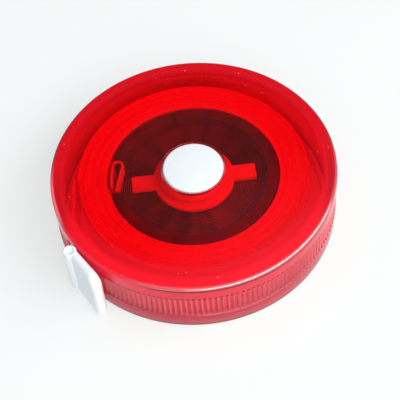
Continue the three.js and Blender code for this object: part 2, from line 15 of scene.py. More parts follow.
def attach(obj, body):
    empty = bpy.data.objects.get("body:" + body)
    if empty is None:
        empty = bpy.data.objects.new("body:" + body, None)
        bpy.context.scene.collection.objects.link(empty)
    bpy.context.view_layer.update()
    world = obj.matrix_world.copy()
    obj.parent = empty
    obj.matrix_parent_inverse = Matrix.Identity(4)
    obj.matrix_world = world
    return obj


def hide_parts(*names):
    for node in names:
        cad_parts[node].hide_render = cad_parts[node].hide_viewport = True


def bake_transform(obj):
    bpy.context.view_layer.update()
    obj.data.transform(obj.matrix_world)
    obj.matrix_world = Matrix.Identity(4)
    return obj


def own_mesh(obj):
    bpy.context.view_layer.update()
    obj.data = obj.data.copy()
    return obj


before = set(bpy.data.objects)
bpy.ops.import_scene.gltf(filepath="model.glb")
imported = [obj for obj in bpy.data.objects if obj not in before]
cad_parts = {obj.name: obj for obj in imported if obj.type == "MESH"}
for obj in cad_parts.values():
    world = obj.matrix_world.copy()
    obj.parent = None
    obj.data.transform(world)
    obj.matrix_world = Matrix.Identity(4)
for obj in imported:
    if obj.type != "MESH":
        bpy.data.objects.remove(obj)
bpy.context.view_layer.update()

LOG = logging.getLogger("tape_measure")
MM = 0.001
MERGE = 1e-7
TAU = 2.0 * math.pi
SHARP_ANGLE = math.radians(32.0)
Array = np.ndarray
Numbers = Union[Array, float]
Colour = tuple[float, float, float, float]
Span = tuple[float, float]
Triple = tuple[float, float, float]


class Body(Enum):
    """Bodies that the pieces ride on."""

    CASE = "case"
    BUTTON = "button"
    DRUM = "drum"
    TAPE_END = "tape_end"
    TAB = "tab"


class Slot(Enum):
    """Material slots of the record."""

    CASE_PLASTIC = "case_plastic"
    WHITE_PLASTIC = "white_plastic"
    DRUM_PLASTIC = "drum_plastic"
    SPRING_STEEL = "spring_steel"
    BRIGHT_STEEL = "bright_steel"
    TAPE_CLOTH = "tape_cloth"
    FELT = "felt"


class Cut(Enum):
    """Ways in which one solid changes another."""

    AWAY = "DIFFERENCE"
    TOGETHER = "UNION"


# Shader maths

def maths(operation: str, reflected: bool = False) -> Callable[..., "Value"]:
    """Method that adds one Math node on a value and other terms, the value last if it is reflected."""
    def method(value: "Value", *others: "Term") -> "Value":
        """The result of the operation."""
        terms = (*others, value) if reflected else (value, *others)
        return value.graph.node("ShaderNodeMath", {"operation": operation}, dict(enumerate(terms)))

    return method


class Value:
    """A shader socket that can be used in Python arithmetic. A comparison gives 1 or 0."""

    def __init__(self, graph: "Graph", socket: bpy.types.NodeSocket) -> None:
        """Keeps the graph and the socket."""
        self.graph = graph
        self.socket = socket

    # Each operator is one Math node
    __add__ = __radd__ = maths("ADD")
    __sub__ = maths("SUBTRACT")
    __rsub__ = maths("SUBTRACT", reflected=True)
    __mul__ = __rmul__ = maths("MULTIPLY")
    __truediv__ = maths("DIVIDE")
    __rtruediv__ = maths("DIVIDE", reflected=True)
    __lt__ = maths("LESS_THAN")
    __gt__ = maths("GREATER_THAN")
    __abs__ = maths("ABSOLUTE")
    most = maths("MAXIMUM")
    least = maths("MINIMUM")
    wave = maths("SINE")
    wrapped = maths("WRAP")
    angle_to = maths("ARCTAN2")

    def off_mark(self, step: float) -> "Value":
        """Distance to the nearest multiple of a step."""
        return abs(self.wrapped(step / 2.0, -step / 2.0))

    def eased(self, low: float, high: float) -> "Value":
        """Smooth rise from 0 at low to 1 at high."""
        inputs = {"Value": self, "From Min": low, "From Max": high}
        return self.graph.node("ShaderNodeMapRange", {"interpolation_type": "SMOOTHSTEP"}, inputs)


Term = Union[Value, float]


class Graph:
    """A node tree that is filled by Python expressions."""

    def __init__(self, tree: bpy.types.NodeTree) -> None:
        """Empties the tree."""
        self.tree = tree
        tree.nodes.clear()

    def node(
        self,
        kind: str,
        settings: Optional[Mapping[str, object]] = None,
        inputs: Optional[Mapping[Union[str, int], object]] = None,
        output: Union[str, int] = 0,
    ) -> Value:
        """Adds one node.

        Args:
            kind: the node's type.
            settings: its properties, set before its sockets.
            inputs: values or links of its sockets, by name or place.
            output: which output is used.

        Returns:
            The output as a value.
        """
        made = self.tree.nodes.new(kind)
        for key, setting in (settings or {}).items():
            setattr(made, key, setting)
        for key, term in (inputs or {}).items():
            self.feed(made.inputs[key], term)
        return Value(self, made.outputs[output])

    def feed(self, socket: bpy.types.NodeSocket, term: object) -> None:
        """Links a value to a socket, or sets the socket's own number."""
        if isinstance(term, Value):
            self.tree.links.new(term.socket, socket)
        else:
            socket.default_value = term

    def end(self, kind: str, shader: Value) -> None:
        """Closes the tree with its output node."""
        self.feed(self.tree.nodes.new(kind).inputs["Surface"], shader)

    def place(self) -> Value:
        """Object coordinates, in metres."""
        return self.node("ShaderNodeTexCoord", output="Object")

    def stretched(self, place: Value, scale: Sequence[float]) -> Value:
        """Coordinates scaled along each axis."""
        return self.node("ShaderNodeMapping", inputs={"Vector": place, "Scale": tuple(scale)})

    def parts(self, vector: Value) -> tuple[Value, Value, Value]:
        """The three numbers of a vector."""
        split = self.node("ShaderNodeSeparateXYZ", inputs={0: vector}).socket.node
        return tuple(Value(self, number) for number in split.outputs)

    def vector(self, operation: str, *terms: object, output: str = "Value") -> Value:
        """One Vector Math node."""
        return self.node("ShaderNodeVectorMath", {"operation": operation}, dict(enumerate(terms)), output)

    def patch(self, view: Value, towards: Triple, angles: Span) -> Value:
        """Round patch of sky about a direction: 0 at the first angle from it, in degrees, 1 at the second."""
        edges = (math.cos(math.radians(angle)) for angle in angles)
        return self.vector("DOT_PRODUCT", view, towards).eased(*edges)

    def round(self, place: Value) -> tuple[Value, Value]:
        """Distance from the drum's axis and height, in millimetres."""
        flat = self.stretched(place, (1.0 / MM, 1.0 / MM, 0.0))
        return self.vector("LENGTH", flat), self.parts(place)[2] / MM

    def specks(self, place: Value, spacing: float, widest: float) -> Value:
        """Scattered dots of uneven size: 1 on a dot, with spacing and largest radius in millimetres."""
        reach = self.node(
            "ShaderNodeTexVoronoi", {"voronoi_dimensions": "2D"},
            {"Vector": place, "Scale": 1.0 / (spacing * MM)}, "Distance")
        return reach < (self.noise(place, 2.0 * spacing, 1.0) - 0.35) * (4.0 * widest / spacing)

    def turn(self, place: Value) -> Value:
        """Angle round the drum's axis, in turns from -0.5 to 0.5."""
        x, y, _ = self.parts(place)
        return y.angle_to(x) / TAU

    def sectors(self, place: Value, count: float) -> Value:
        """Cloudy noise that changes only with the angle round the drum's axis."""
        flat = self.stretched(place, (1.0, 1.0, 0.0))
        outward = self.vector("NORMALIZE", flat, output="Vector")
        return self.noise(outward, 1.0 / (count * MM), 1.0)

    def noise(self, place: Value, size: float, detail: float) -> Value:
        """Cloudy noise from 0 to 1: the width of one cloud in millimetres, and its finer layers."""
        inputs = {"Vector": place, "Scale": 1.0 / (size * MM), "Detail": detail}
        return self.node("ShaderNodeTexNoise", inputs=inputs)

    def mix(self, share: Term, first: object, second: object) -> Value:
        """Colour between two colours."""
        return self.node("ShaderNodeMix", {"data_type": "RGBA"}, {0: share, 6: first, 7: second}, 2)

    def layered(self, base: object, *layers: tuple[Value, object]) -> object:
        """Colour with other colours laid over it in turn, each by its share."""
        for share, colour in layers:
            base = self.mix(share, base, colour)
        return base

    def bump(self, height: Value, depth: float) -> Value:
        """Normal of a surface raised by a height map, with its depth in millimetres."""
        return self.node("ShaderNodeBump", inputs={"Height": height, "Distance": depth * MM})

    def principled(self, inputs: Mapping[str, object]) -> Value:
        """The main surface shader."""
        return self.node("ShaderNodeBsdfPrincipled", inputs=inputs)

    def blended(self, share: Value, first: Value, second: Value) -> Value:
        """Mix of two shaders."""
        return self.node("ShaderNodeMixShader", inputs={0: share, 1: first, 2: second})


# Finishes

@dataclass(frozen=True)
class Finish:
    """A surface finish that paints one material."""

    name: str
    slot: Optional[Slot]

    def shader(self, graph: Graph) -> Value:
        """The finish's shader; each finish has its own."""
        raise NotImplementedError

    def material(self) -> bpy.types.Material:
        """The finish as a material, made once."""
        known = bpy.data.materials.get(self.name)
        if known is not None:
            return known
        made = bpy.data.materials.new(self.name)
        made.use_nodes = True
        graph = Graph(made.node_tree)
        graph.end("ShaderNodeOutputMaterial", self.shader(graph))
        return made


@dataclass(frozen=True)
class RedZones:
    """Where a point of the red case is: its radius and height, and masks that are 1 in their zone."""

    radius: Value
    height: Value
    top: Value
    wall: Value
    inside: Value
    near: Value
    flank: Value
    ribbed: Value
    phase: Value
    painted_shade: Value
    painted_light_beside_tab: Value
    painted_left_highlight: Value
    line: Value
    rim: Value
    dust: Value


@dataclass(frozen=True)
class ClearRed(Finish):
    """See-through red moulded plastic, clear on top and milky in the ribbed wall.

    A span says where a zone starts and where it is full. Radii and heights are in millimetres, places
    along and across the case in metres, and valleys in shares of the way from a crest to a groove.
    """

    thin: Colour = (1.0, 0.010, 0.060, 1.0)
    deep: Colour = (0.98, 0.006, 0.045, 1.0)
    body: Colour = (0.90, 0.010, 0.022, 1.0)
    # Greyer colour for the middle of the top.
    middle_grey: Colour = (0.75, 0.105, 0.105, 1.0)
    scuffed: Colour = (0.92, 0.026, 0.070, 1.0)
    # Paler colour of the ribbed band.
    rib_band_tone: Colour = (0.92, 0.090, 0.140, 1.0)
    # Painted shade in the rib grooves at the front.
    groove: Colour = (0.70, 0.075, 0.115, 1.0)
    # Paler pink: painted light on the ribs of the flanks, and a painted pink highlight on the lip at the
    # left.
    crest: Colour = (1.0, 0.15, 0.19, 1.0)
    # Painted shade in the rib grooves of the flanks.
    painted_flank_shade: Colour = (0.13, 0.008, 0.016, 1.0)
    # Painted shade in the notches at the grooves' upper ends and in the line under the lip, and a painted
    # dark reflection on the top's edge at the back.
    painted_shade: Colour = (0.10, 0.003, 0.009, 1.0)
    dust: Colour = (0.90, 0.28, 0.28, 1.0)
    # Greyer and darker towards the bottom: painted shade and reflection.
    foot: Colour = (0.54, 0.125, 0.160, 1.0)
    # Painted contact shadow along the bottom edge.
    hem: Colour = (0.14, 0.035, 0.048, 1.0)
    gloss: float = 0.015
    rub: float = 0.04
    inner_haze: float = 0.28
    under_haze: float = 0.05
    wall_haze: float = 0.06
    middle_milk: float = 0.045
    rim_milk: float = 0.17
    edge_milk: float = 0.36
    wall_milk: float = 0.40
    dust_milk: float = 0.16
    # More milk at the front of the top's rim: painted light.
    painted_front_light_milk: float = 2.0
    # More milk on the upper wall beside the tab: painted light.
    painted_tab_light_milk: float = 0.5
    cloud: Span = (14.0, 2.0)
    ripple: float = 0.02
    rubs: Span = (3.0, 4.0)
    rub_stretch: Triple = (1.0, 6.0, 1.0)
    rub_change: Span = (0.5, 0.8)
    clear_ior: float = 1.4
    milky_ior: float = 1.5
    milky_gloss: float = 0.3
    coat_ior: float = 2.6
    coat_gloss: float = 0.03
    rib_coat: float = 0.06
    tab_fades: Span = (0.85, 0.9)
    left_fade: float = 0.6
    ribs: int = 170
    rib_heights: Span = (3.3, 8.2)
    rib_fade: float = 0.2
    front_valley: Span = (0.6, 0.98)
    flank_valley: Span = (0.25, 0.7)
    notch_valley: Span = (0.3, 0.5)
    notch_rise: Span = (-0.2, -0.1)
    notch_fall: Span = (0.45, 0.55)
    contact_shadow_heights: Span = (0.55, 0.95)
    low_shade_heights: Span = (1.4, 2.2)
    tab_heights: Span = (8.5, 9.0)
    ceiling: Span = (9.8, 10.2)
    painted_lip_shade: Span = (10.5, 10.6)
    lip_heights: Span = (10.95, 11.05)
    top_heights: Span = (11.2, 11.35)
    middle_grey_radii: Span = (12.5, 16.0)
    rim_radii: Span = (19.6, 21.4)
    edge_radii: Span = (22.0, 23.3)
    inner_radii: Span = (22.0, 22.4)
    wall_radii: Span = (24.2, 24.4)
    lip_radii: Span = (24.3, 24.5)
    # Radii of the painted dark reflection on the top's edge at the back.
    painted_back_reflection_radii: Span = (24.6, 24.75)
    left_end: Span = (-0.0238, -0.0222)
    tab_side: Span = (-0.015, -0.006)
    flank_start: Span = (-0.020, -0.012)
    painted_front_light_end: Span = (-0.017, -0.005)
    far_start: Span = (-0.004, 0.006)
    dust_spacing: float = 3.4
    dust_size: float = 0.09

    def zones(self, graph: Graph, place: Value) -> RedZones:
        """Works out the zones.

        The flanks are the two ends of the ribbed wall as seen from the front; light is painted on their ribs
        and shade in their grooves. Beside the tab the lip's bright line and the painted dark line under it
        fade out, and light is painted on the upper wall. Light is also painted at the front of the top's rim,
        a dark reflection on the top's edge at the back and a pink highlight on the lip at the left.

        Args:
            graph: the material's nodes.
            place: object coordinates, in metres.

        Returns:
            The zones.
        """
        radius, height = graph.round(place)
        along, across, _ = graph.parts(place)
        top = height.eased(*self.top_heights)
        wall = radius.eased(*self.wall_radii) * (1.0 - top)
        inside = radius.eased(*self.inner_radii) * (1.0 - wall) * (1.0 - top)
        far = across.eased(*self.far_start)
        edge = height.eased(*self.lip_heights)
        left = 1.0 - along.eased(*self.left_end)
        shaded = (1.0 - left) * (1.0 - along.eased(*self.tab_side)) * (1.0 - far)
        lip = radius.eased(*self.lip_radii) * edge * (1.0 - far)
        low, high = self.rib_heights
        valley = graph.turn(place).off_mark(1.0 / self.ribs) * (2.0 * self.ribs)
        # Flanks: painted light on their ribs and painted shade in their grooves.
        flank = across.eased(*self.flank_start) * (1.0 - far)
        # Dots at the upper ends of the grooves: painted shade.
        first, last = (tuple(high + part for part in span) for span in (self.notch_rise, self.notch_fall))
        painted_shade = valley.eased(*self.notch_valley) * height.eased(*first) * (1.0 - height.eased(*last))
        # Dark line under the lip: painted shade.
        painted_lip_shade = height.eased(*self.painted_lip_shade) * (1.0 - edge) * (1.0 - self.tab_fades[0] * shaded)
        return RedZones(
            radius=radius,
            height=height,
            top=top,
            wall=wall,
            inside=inside * (1.0 - height.eased(*self.ceiling)),
            # Front of the top's rim, where more milk paints light.
            near=1.0 - across.eased(*self.painted_front_light_end),
            flank=flank,
            ribbed=height.eased(low - self.rib_fade, low) * (1.0 - height.eased(high, high + self.rib_fade)),
            phase=valley.eased(*self.front_valley) * (1.0 - flank) + valley.eased(*self.flank_valley) * flank,
            painted_shade=wall * (painted_shade + painted_lip_shade),
            # Upper wall beside the tab, painted lighter.
            painted_light_beside_tab=shaded * height.eased(*self.tab_heights),
            # Lip at the left, with a painted pink highlight.
            painted_left_highlight=lip * left,
            line=lip * (1.0 - self.tab_fades[1] * shaded) * (1.0 - self.left_fade * left),
            # Top's edge at the back, with a painted dark reflection.
            rim=radius.eased(*self.painted_back_reflection_radii) * edge * far,
            dust=graph.specks(place, self.dust_spacing, self.dust_size) * top,
        )

    def skin(self, graph: Graph, zone: RedZones) -> Value:
        """Colour of the milky plastic.

        On the wall it goes from a painted contact shadow at the hem and a greyish foot of painted shade and
        reflection to red, paler on the ribs, with painted light on the flanks' ribs and beside the tab, and
        painted shade in the grooves, in the notches at their upper ends and in a line under the lip. On the
        top it is greyer in the middle, with a painted dark reflection as an outline at the back, a painted
        pink highlight on the lip at the left and scattered dust specks.

        Args:
            graph: the material's nodes.
            zone: the zones of the case.

        Returns:
            The colour.
        """
        side = graph.layered(
            # Painted contact shadow at the hem, then a foot of painted shade and reflection towards the
            # bottom.
            self.hem,
            (zone.height.eased(*self.contact_shadow_heights), self.foot),
            (zone.height.eased(*self.low_shade_heights), self.scuffed),
            (zone.ribbed, self.rib_band_tone),
            # Painted light on the upper wall beside the tab.
            (zone.painted_light_beside_tab, self.thin),
            # Painted light on the ribs of the flanks.
            (zone.flank * zone.ribbed, self.crest),
            # Painted shade in the grooves, deeper on the flanks.
            (zone.phase * zone.ribbed, graph.mix(zone.flank, self.groove, self.painted_flank_shade)),
            # Painted shade in the notches and in the line under the lip.
            (zone.painted_shade, self.painted_shade),
        )
        return graph.layered(
            self.middle_grey,
            (zone.radius.eased(*self.middle_grey_radii), self.body),
            (zone.wall, side),
            # Painted dark reflection on the top's edge at the back.
            (zone.rim, self.painted_shade),
            # Painted pink highlight on the lip at the left.
            (zone.painted_left_highlight, self.crest),
            (zone.dust, self.dust),
        )

    def milk(self, zone: RedZones) -> Value:
        """Share of milky plastic: little in the middle of the top, more at its rim, most in the wall.

        More milk paints light at the front of the rim, on the flanks' ribs and beside the tab, and lets the
        painted shade, dark reflection and highlight show.
        """
        # More milk at the front of the rim: painted light.
        rim = self.rim_milk * (1.0 + self.painted_front_light_milk * zone.near) * zone.radius.eased(*self.rim_radii)
        top = rim + self.edge_milk * zone.radius.eased(*self.edge_radii) + self.dust_milk * zone.dust
        # More milk on the flanks' ribs and beside the tab: painted light.
        wall = zone.wall * (1.0 + zone.flank * zone.ribbed + self.painted_tab_light_milk * zone.painted_light_beside_tab)
        # More milk with the painted shade, the painted dark reflection and the painted pink highlight, so
        # that their colours show.
        wall = wall + zone.painted_shade + zone.rim * (1.0 - zone.wall) + zone.painted_left_highlight
        return self.middle_milk + top * zone.top + self.wall_milk * wall

    def shader(self, graph: Graph) -> Value:
        """Clear and milky plastic, mixed by zone, with faint rubs on top and a bright lip."""
        place = graph.place()
        zone = self.zones(graph, place)
        cloud = graph.noise(place, *self.cloud)
        streaks = graph.noise(graph.stretched(place, self.rub_stretch), *self.rubs)
        rubs = streaks.eased(*self.rub_change) * zone.top
        haze = self.inner_haze * zone.inside + self.under_haze * (1.0 - zone.top) + self.wall_haze * zone.wall
        surface = {
            "Roughness": self.gloss + self.rub * rubs + haze,
            "Normal": graph.bump(cloud, self.ripple),
            "Coat Weight": zone.line + self.rib_coat * zone.wall * zone.ribbed,
            "Coat IOR": self.coat_ior,
            "Coat Roughness": self.coat_gloss,
        }
        clear = graph.principled({
            "Base Color": graph.mix(cloud, self.deep, self.thin),
            "Transmission Weight": 1.0,
            "IOR": self.clear_ior,
            **surface,
        })
        milky = graph.principled({
            "Base Color": self.skin(graph, zone),
            "IOR": self.milky_ior,
            "Specular IOR Level": self.milky_gloss,
            **surface,
        })
        return graph.blended(self.milk(zone), clear, milky)


@dataclass(frozen=True)
class Grained(Finish):
    """Finish with two colours in broad clouds, and a grain in its roughness and bump.

    A cloud or a grain is its size in millimetres and its number of finer layers. The roughness is its
    base and the grain's share. The sheen sectors are the share of the clouds that changes only with the
    angle round the drum's axis: painted reflection, like the sheen on a wound spring's edges.
    """

    first: Colour
    second: Colour
    cloud: Span
    change: Span
    grain: Span
    depth: float
    rough: Span
    painted_sheen_sectors: float = 0.0
    sheen_sector_count: float = 3.0
    stretch: Triple = (1.0, 1.0, 1.0)
    own: Optional[Mapping[str, float]] = None

    def shader(self, graph: Graph) -> Value:
        """Colour from clouds and painted sheen sectors; roughness and bump from the grain."""
        place = graph.place()
        share = graph.noise(place, *self.cloud)
        if self.painted_sheen_sectors > 0.0:
            share = (1.0 - self.painted_sheen_sectors) * share + self.painted_sheen_sectors * graph.sectors(place, self.sheen_sector_count)
        grain = graph.noise(graph.stretched(place, self.stretch), *self.grain)
        base, spread = self.rough
        return graph.principled({
            "Base Color": graph.mix(share.eased(*self.change), self.first, self.second),
            "Roughness": base + spread * grain,
            "Normal": graph.bump(grain, self.depth),
            **(self.own or {}),
        })


@dataclass(frozen=True)
class CoatedCloth(Finish):
    """White coated glass-cloth tape with printed millimetre marks and a faint weave."""

    cloth: Colour = (0.97, 0.95, 0.91, 1.0)
    aged: Colour = (0.93, 0.905, 0.85, 1.0)
    ink: Colour = (0.03, 0.03, 0.035, 1.0)
    mark_width: float = 0.22
    mark_steps: Triple = (1.0, 5.0, 10.0)
    mark_reaches: Triple = (0.16, 0.25, 0.36)
    selvedge: float = 0.025
    threads: Span = (14.0, 110.0)
    thread_depth: float = 0.008
    cloud: Span = (3.0, 4.0)
    change: Span = (0.4, 0.8)
    rough: Span = (0.5, 0.2)
    printed: bool = True

    def marks(self, along: Value, edge: Value, step: float, reach: float) -> Value:
        """Printed lines a step apart, in millimetres, that reach in from the edge by a share of the width."""
        return (along.off_mark(step) < self.mark_width / 2.0) * (edge < reach) * (edge > self.selvedge)

    def shader(self, graph: Graph) -> Value:
        """Marks at 1, 5 and 10 mm on the strip's own map; threads as crossed waves."""
        strip = graph.node("ShaderNodeUVMap", {"uv_map": "strip"})
        along, across, _ = graph.parts(strip)
        edge = across.least(1.0 - across)
        weave = (along * self.threads[0]).wave() * (across * self.threads[1]).wave()
        cloud = graph.noise(graph.place(), *self.cloud)
        colour = graph.mix(cloud.eased(*self.change), self.cloth, self.aged)
        if self.printed:
            for step, reach in zip(self.mark_steps, self.mark_reaches):
                colour = graph.mix(self.marks(along, edge, step, reach), colour, self.ink)
        return graph.principled({
            "Base Color": colour,
            "Roughness": self.rough[0] + self.rough[1] * cloud,
            "Normal": graph.bump(weave, self.thread_depth),
        })


@dataclass(frozen=True)
class PaleTable(Finish):
    """Pale matt table top that also shows as a white background."""

    white: Colour = (0.79, 0.82, 0.815, 1.0)
    soft: Colour = (0.77, 0.80, 0.795, 1.0)
    backdrop: Colour = (0.965, 1.0, 0.99, 1.0)
    share: float = 0.62
    cloud: Span = (40.0, 3.0)
    rough: Span = (0.75, 0.1)
    gloss: float = 0.15

    def shader(self, graph: Graph) -> Value:
        """Matt white with a faint cloud, and plain white where it is seen directly, in gloss or glass."""
        cloud = graph.noise(graph.place(), *self.cloud)
        matt = graph.principled({
            "Base Color": graph.mix(cloud, self.soft, self.white),
            "Roughness": self.rough[0] + self.rough[1] * cloud,
            "Specular IOR Level": self.gloss,
        })
        rays = ("Is Camera Ray", "Is Glossy Ray", "Is Transmission Ray")
        camera, glossy, through = (graph.node("ShaderNodeLightPath", output=name) for name in rays)
        plain = graph.node("ShaderNodeEmission", inputs={"Color": self.backdrop})
        return graph.blended(self.share * camera.most(glossy).most(through), matt, plain)


RED = ClearRed("clear_red_plastic", Slot.CASE_PLASTIC)
WHITE = Grained(
    "white_moulding", Slot.WHITE_PLASTIC, (0.80, 0.84, 0.87, 1.0), (0.76, 0.795, 0.825, 1.0),
    cloud=(6.0, 4.0), change=(0.45, 0.8), grain=(0.35, 2.0), depth=0.006, rough=(0.3, 0.14),
    own={"IOR": 1.49})
# Brighter copy of the white moulding for the retainer seen through the cover: painted light.
BRIGHTENED_WHITE = replace(
    WHITE, name="brightened_white_moulding", first=(0.96, 0.96, 0.95, 1.0), second=(0.92, 0.92, 0.91, 1.0))
# The spool, the spring and the steels copied from it take painted reflection sectors that change with the
# angle round the axis.
DARK = Grained(
    "dark_spool_plastic", Slot.DRUM_PLASTIC, (0.032, 0.027, 0.026, 1.0), (0.105, 0.088, 0.084, 1.0),
    cloud=(5.0, 4.0), change=(0.3, 0.75), grain=(0.25, 2.0), depth=0.01, rough=(0.42, 0.2), painted_sheen_sectors=0.6)
SPRING = Grained(
    "blued_spring_steel", Slot.SPRING_STEEL, (0.15, 0.14, 0.14, 1.0), (0.52, 0.50, 0.49, 1.0),
    cloud=(7.0, 3.0), change=(0.35, 0.65), grain=(2.4, 5.0), depth=0.004, rough=(0.3, 0.2), painted_sheen_sectors=0.6,
    stretch=(1.0, 1.0, 8.0), own={"Metallic": 1.0})
# The spring's finish, darkened for the loop's pin: painted shade inside the tape's loop.
SHADE_DARKENED_PIN = replace(
    SPRING, name="shade_darkened_steel_pin", slot=Slot.BRIGHT_STEEL, rough=(0.4, 0.2),
    first=(0.06, 0.058, 0.058, 1.0), second=(0.14, 0.135, 0.13, 1.0))
WIRE = replace(
    SPRING, name="bright_steel_wire", slot=Slot.BRIGHT_STEEL, rough=(0.18, 0.2),
    first=(0.5, 0.5, 0.5, 1.0), second=(0.7, 0.7, 0.71, 1.0))
FELT = Grained(
    "grey_felt", Slot.FELT, (0.22, 0.21, 0.20, 1.0), (0.42, 0.41, 0.39, 1.0),
    cloud=(0.3, 5.0), change=(0.3, 0.7), grain=(0.3, 5.0), depth=0.05, rough=(0.85, 0.1),
    own={"Sheen Weight": 0.3})
CLOTH = CoatedCloth("coated_tape_cloth", Slot.TAPE_CLOTH)
BACK_CLOTH = replace(CLOTH, name="unprinted_tape_cloth", printed=False)
TABLE = PaleTable("pale_table", None)


# Shapes

def polar(radius: Numbers, angle: Numbers, height: Numbers) -> Array:
    """Points at a radius and an angle in radians, at a height."""
    spread = np.broadcast_arrays(radius * np.cos(angle), radius * np.sin(angle), height)
    return np.stack(spread, -1)


def oblong(x: float, y: float) -> Array:
    """Corners of a rectangle with the given half sides."""
    return np.array([[x, -y], [x, y], [-x, y], [-x, -y]])


def unit(vectors: Array) -> Array:
    """Vectors made one long."""
    return vectors / np.maximum(np.linalg.norm(vectors, axis=-1, keepdims=True), 1e-12)


def eased_outline(corners: Sequence[Triple], steps: int = 4, hold: float = 0.03) -> Array:
    """Closed outline whose corners are rounded.

    At each corner an arc of the corner's radius touches both sides. Its two tangent points get a
    support point a little further along the sides, so that the flats stay flat when shaded. A
    corner with no radius stays sharp.

    Args:
        corners: x, y and radius of each corner, in order round the outline.
        steps: number of steps along an arc.
        hold: distance of the support points.

    Returns:
        The outline's points.
    """
    table = np.asarray(corners, float)
    point, radius = table[:, :2], table[:, 2]
    back = unit(np.roll(point, 1, 0) - point)
    ahead = unit(np.roll(point, -1, 0) - point)
    half = np.arccos(np.clip((back * ahead).sum(-1), -1.0, 1.0)) / 2.0
    run = radius / np.tan(half)
    centre = point + unit(back + ahead) * (radius / np.sin(half))[:, None]
    first = point + back * run[:, None] - centre
    last = point + ahead * run[:, None] - centre
    sweep = np.maximum(math.pi - 2.0 * half, 1e-4)[:, None, None]
    share = np.linspace(0.0, 1.0, steps + 1)[None, :, None]
    turned = np.sin((1.0 - share) * sweep) * first[:, None] + np.sin(share * sweep) * last[:, None]
    arcs = centre[:, None] + turned / np.sin(sweep)
    reach = (run + np.where(radius > 0.0, hold, 0.0))[:, None, None]
    before = point[:, None] + back[:, None] * reach
    after = point[:, None] + ahead[:, None] * reach
    return np.concatenate([before, arcs, after], 1).reshape(-1, 2)


def linked(name: str, data: bpy.types.ID) -> bpy.types.Object:
    """A new object in the scene, at the origin."""
    made = bpy.data.objects.new(name, data)
    bpy.context.scene.collection.objects.link(made)
    return made


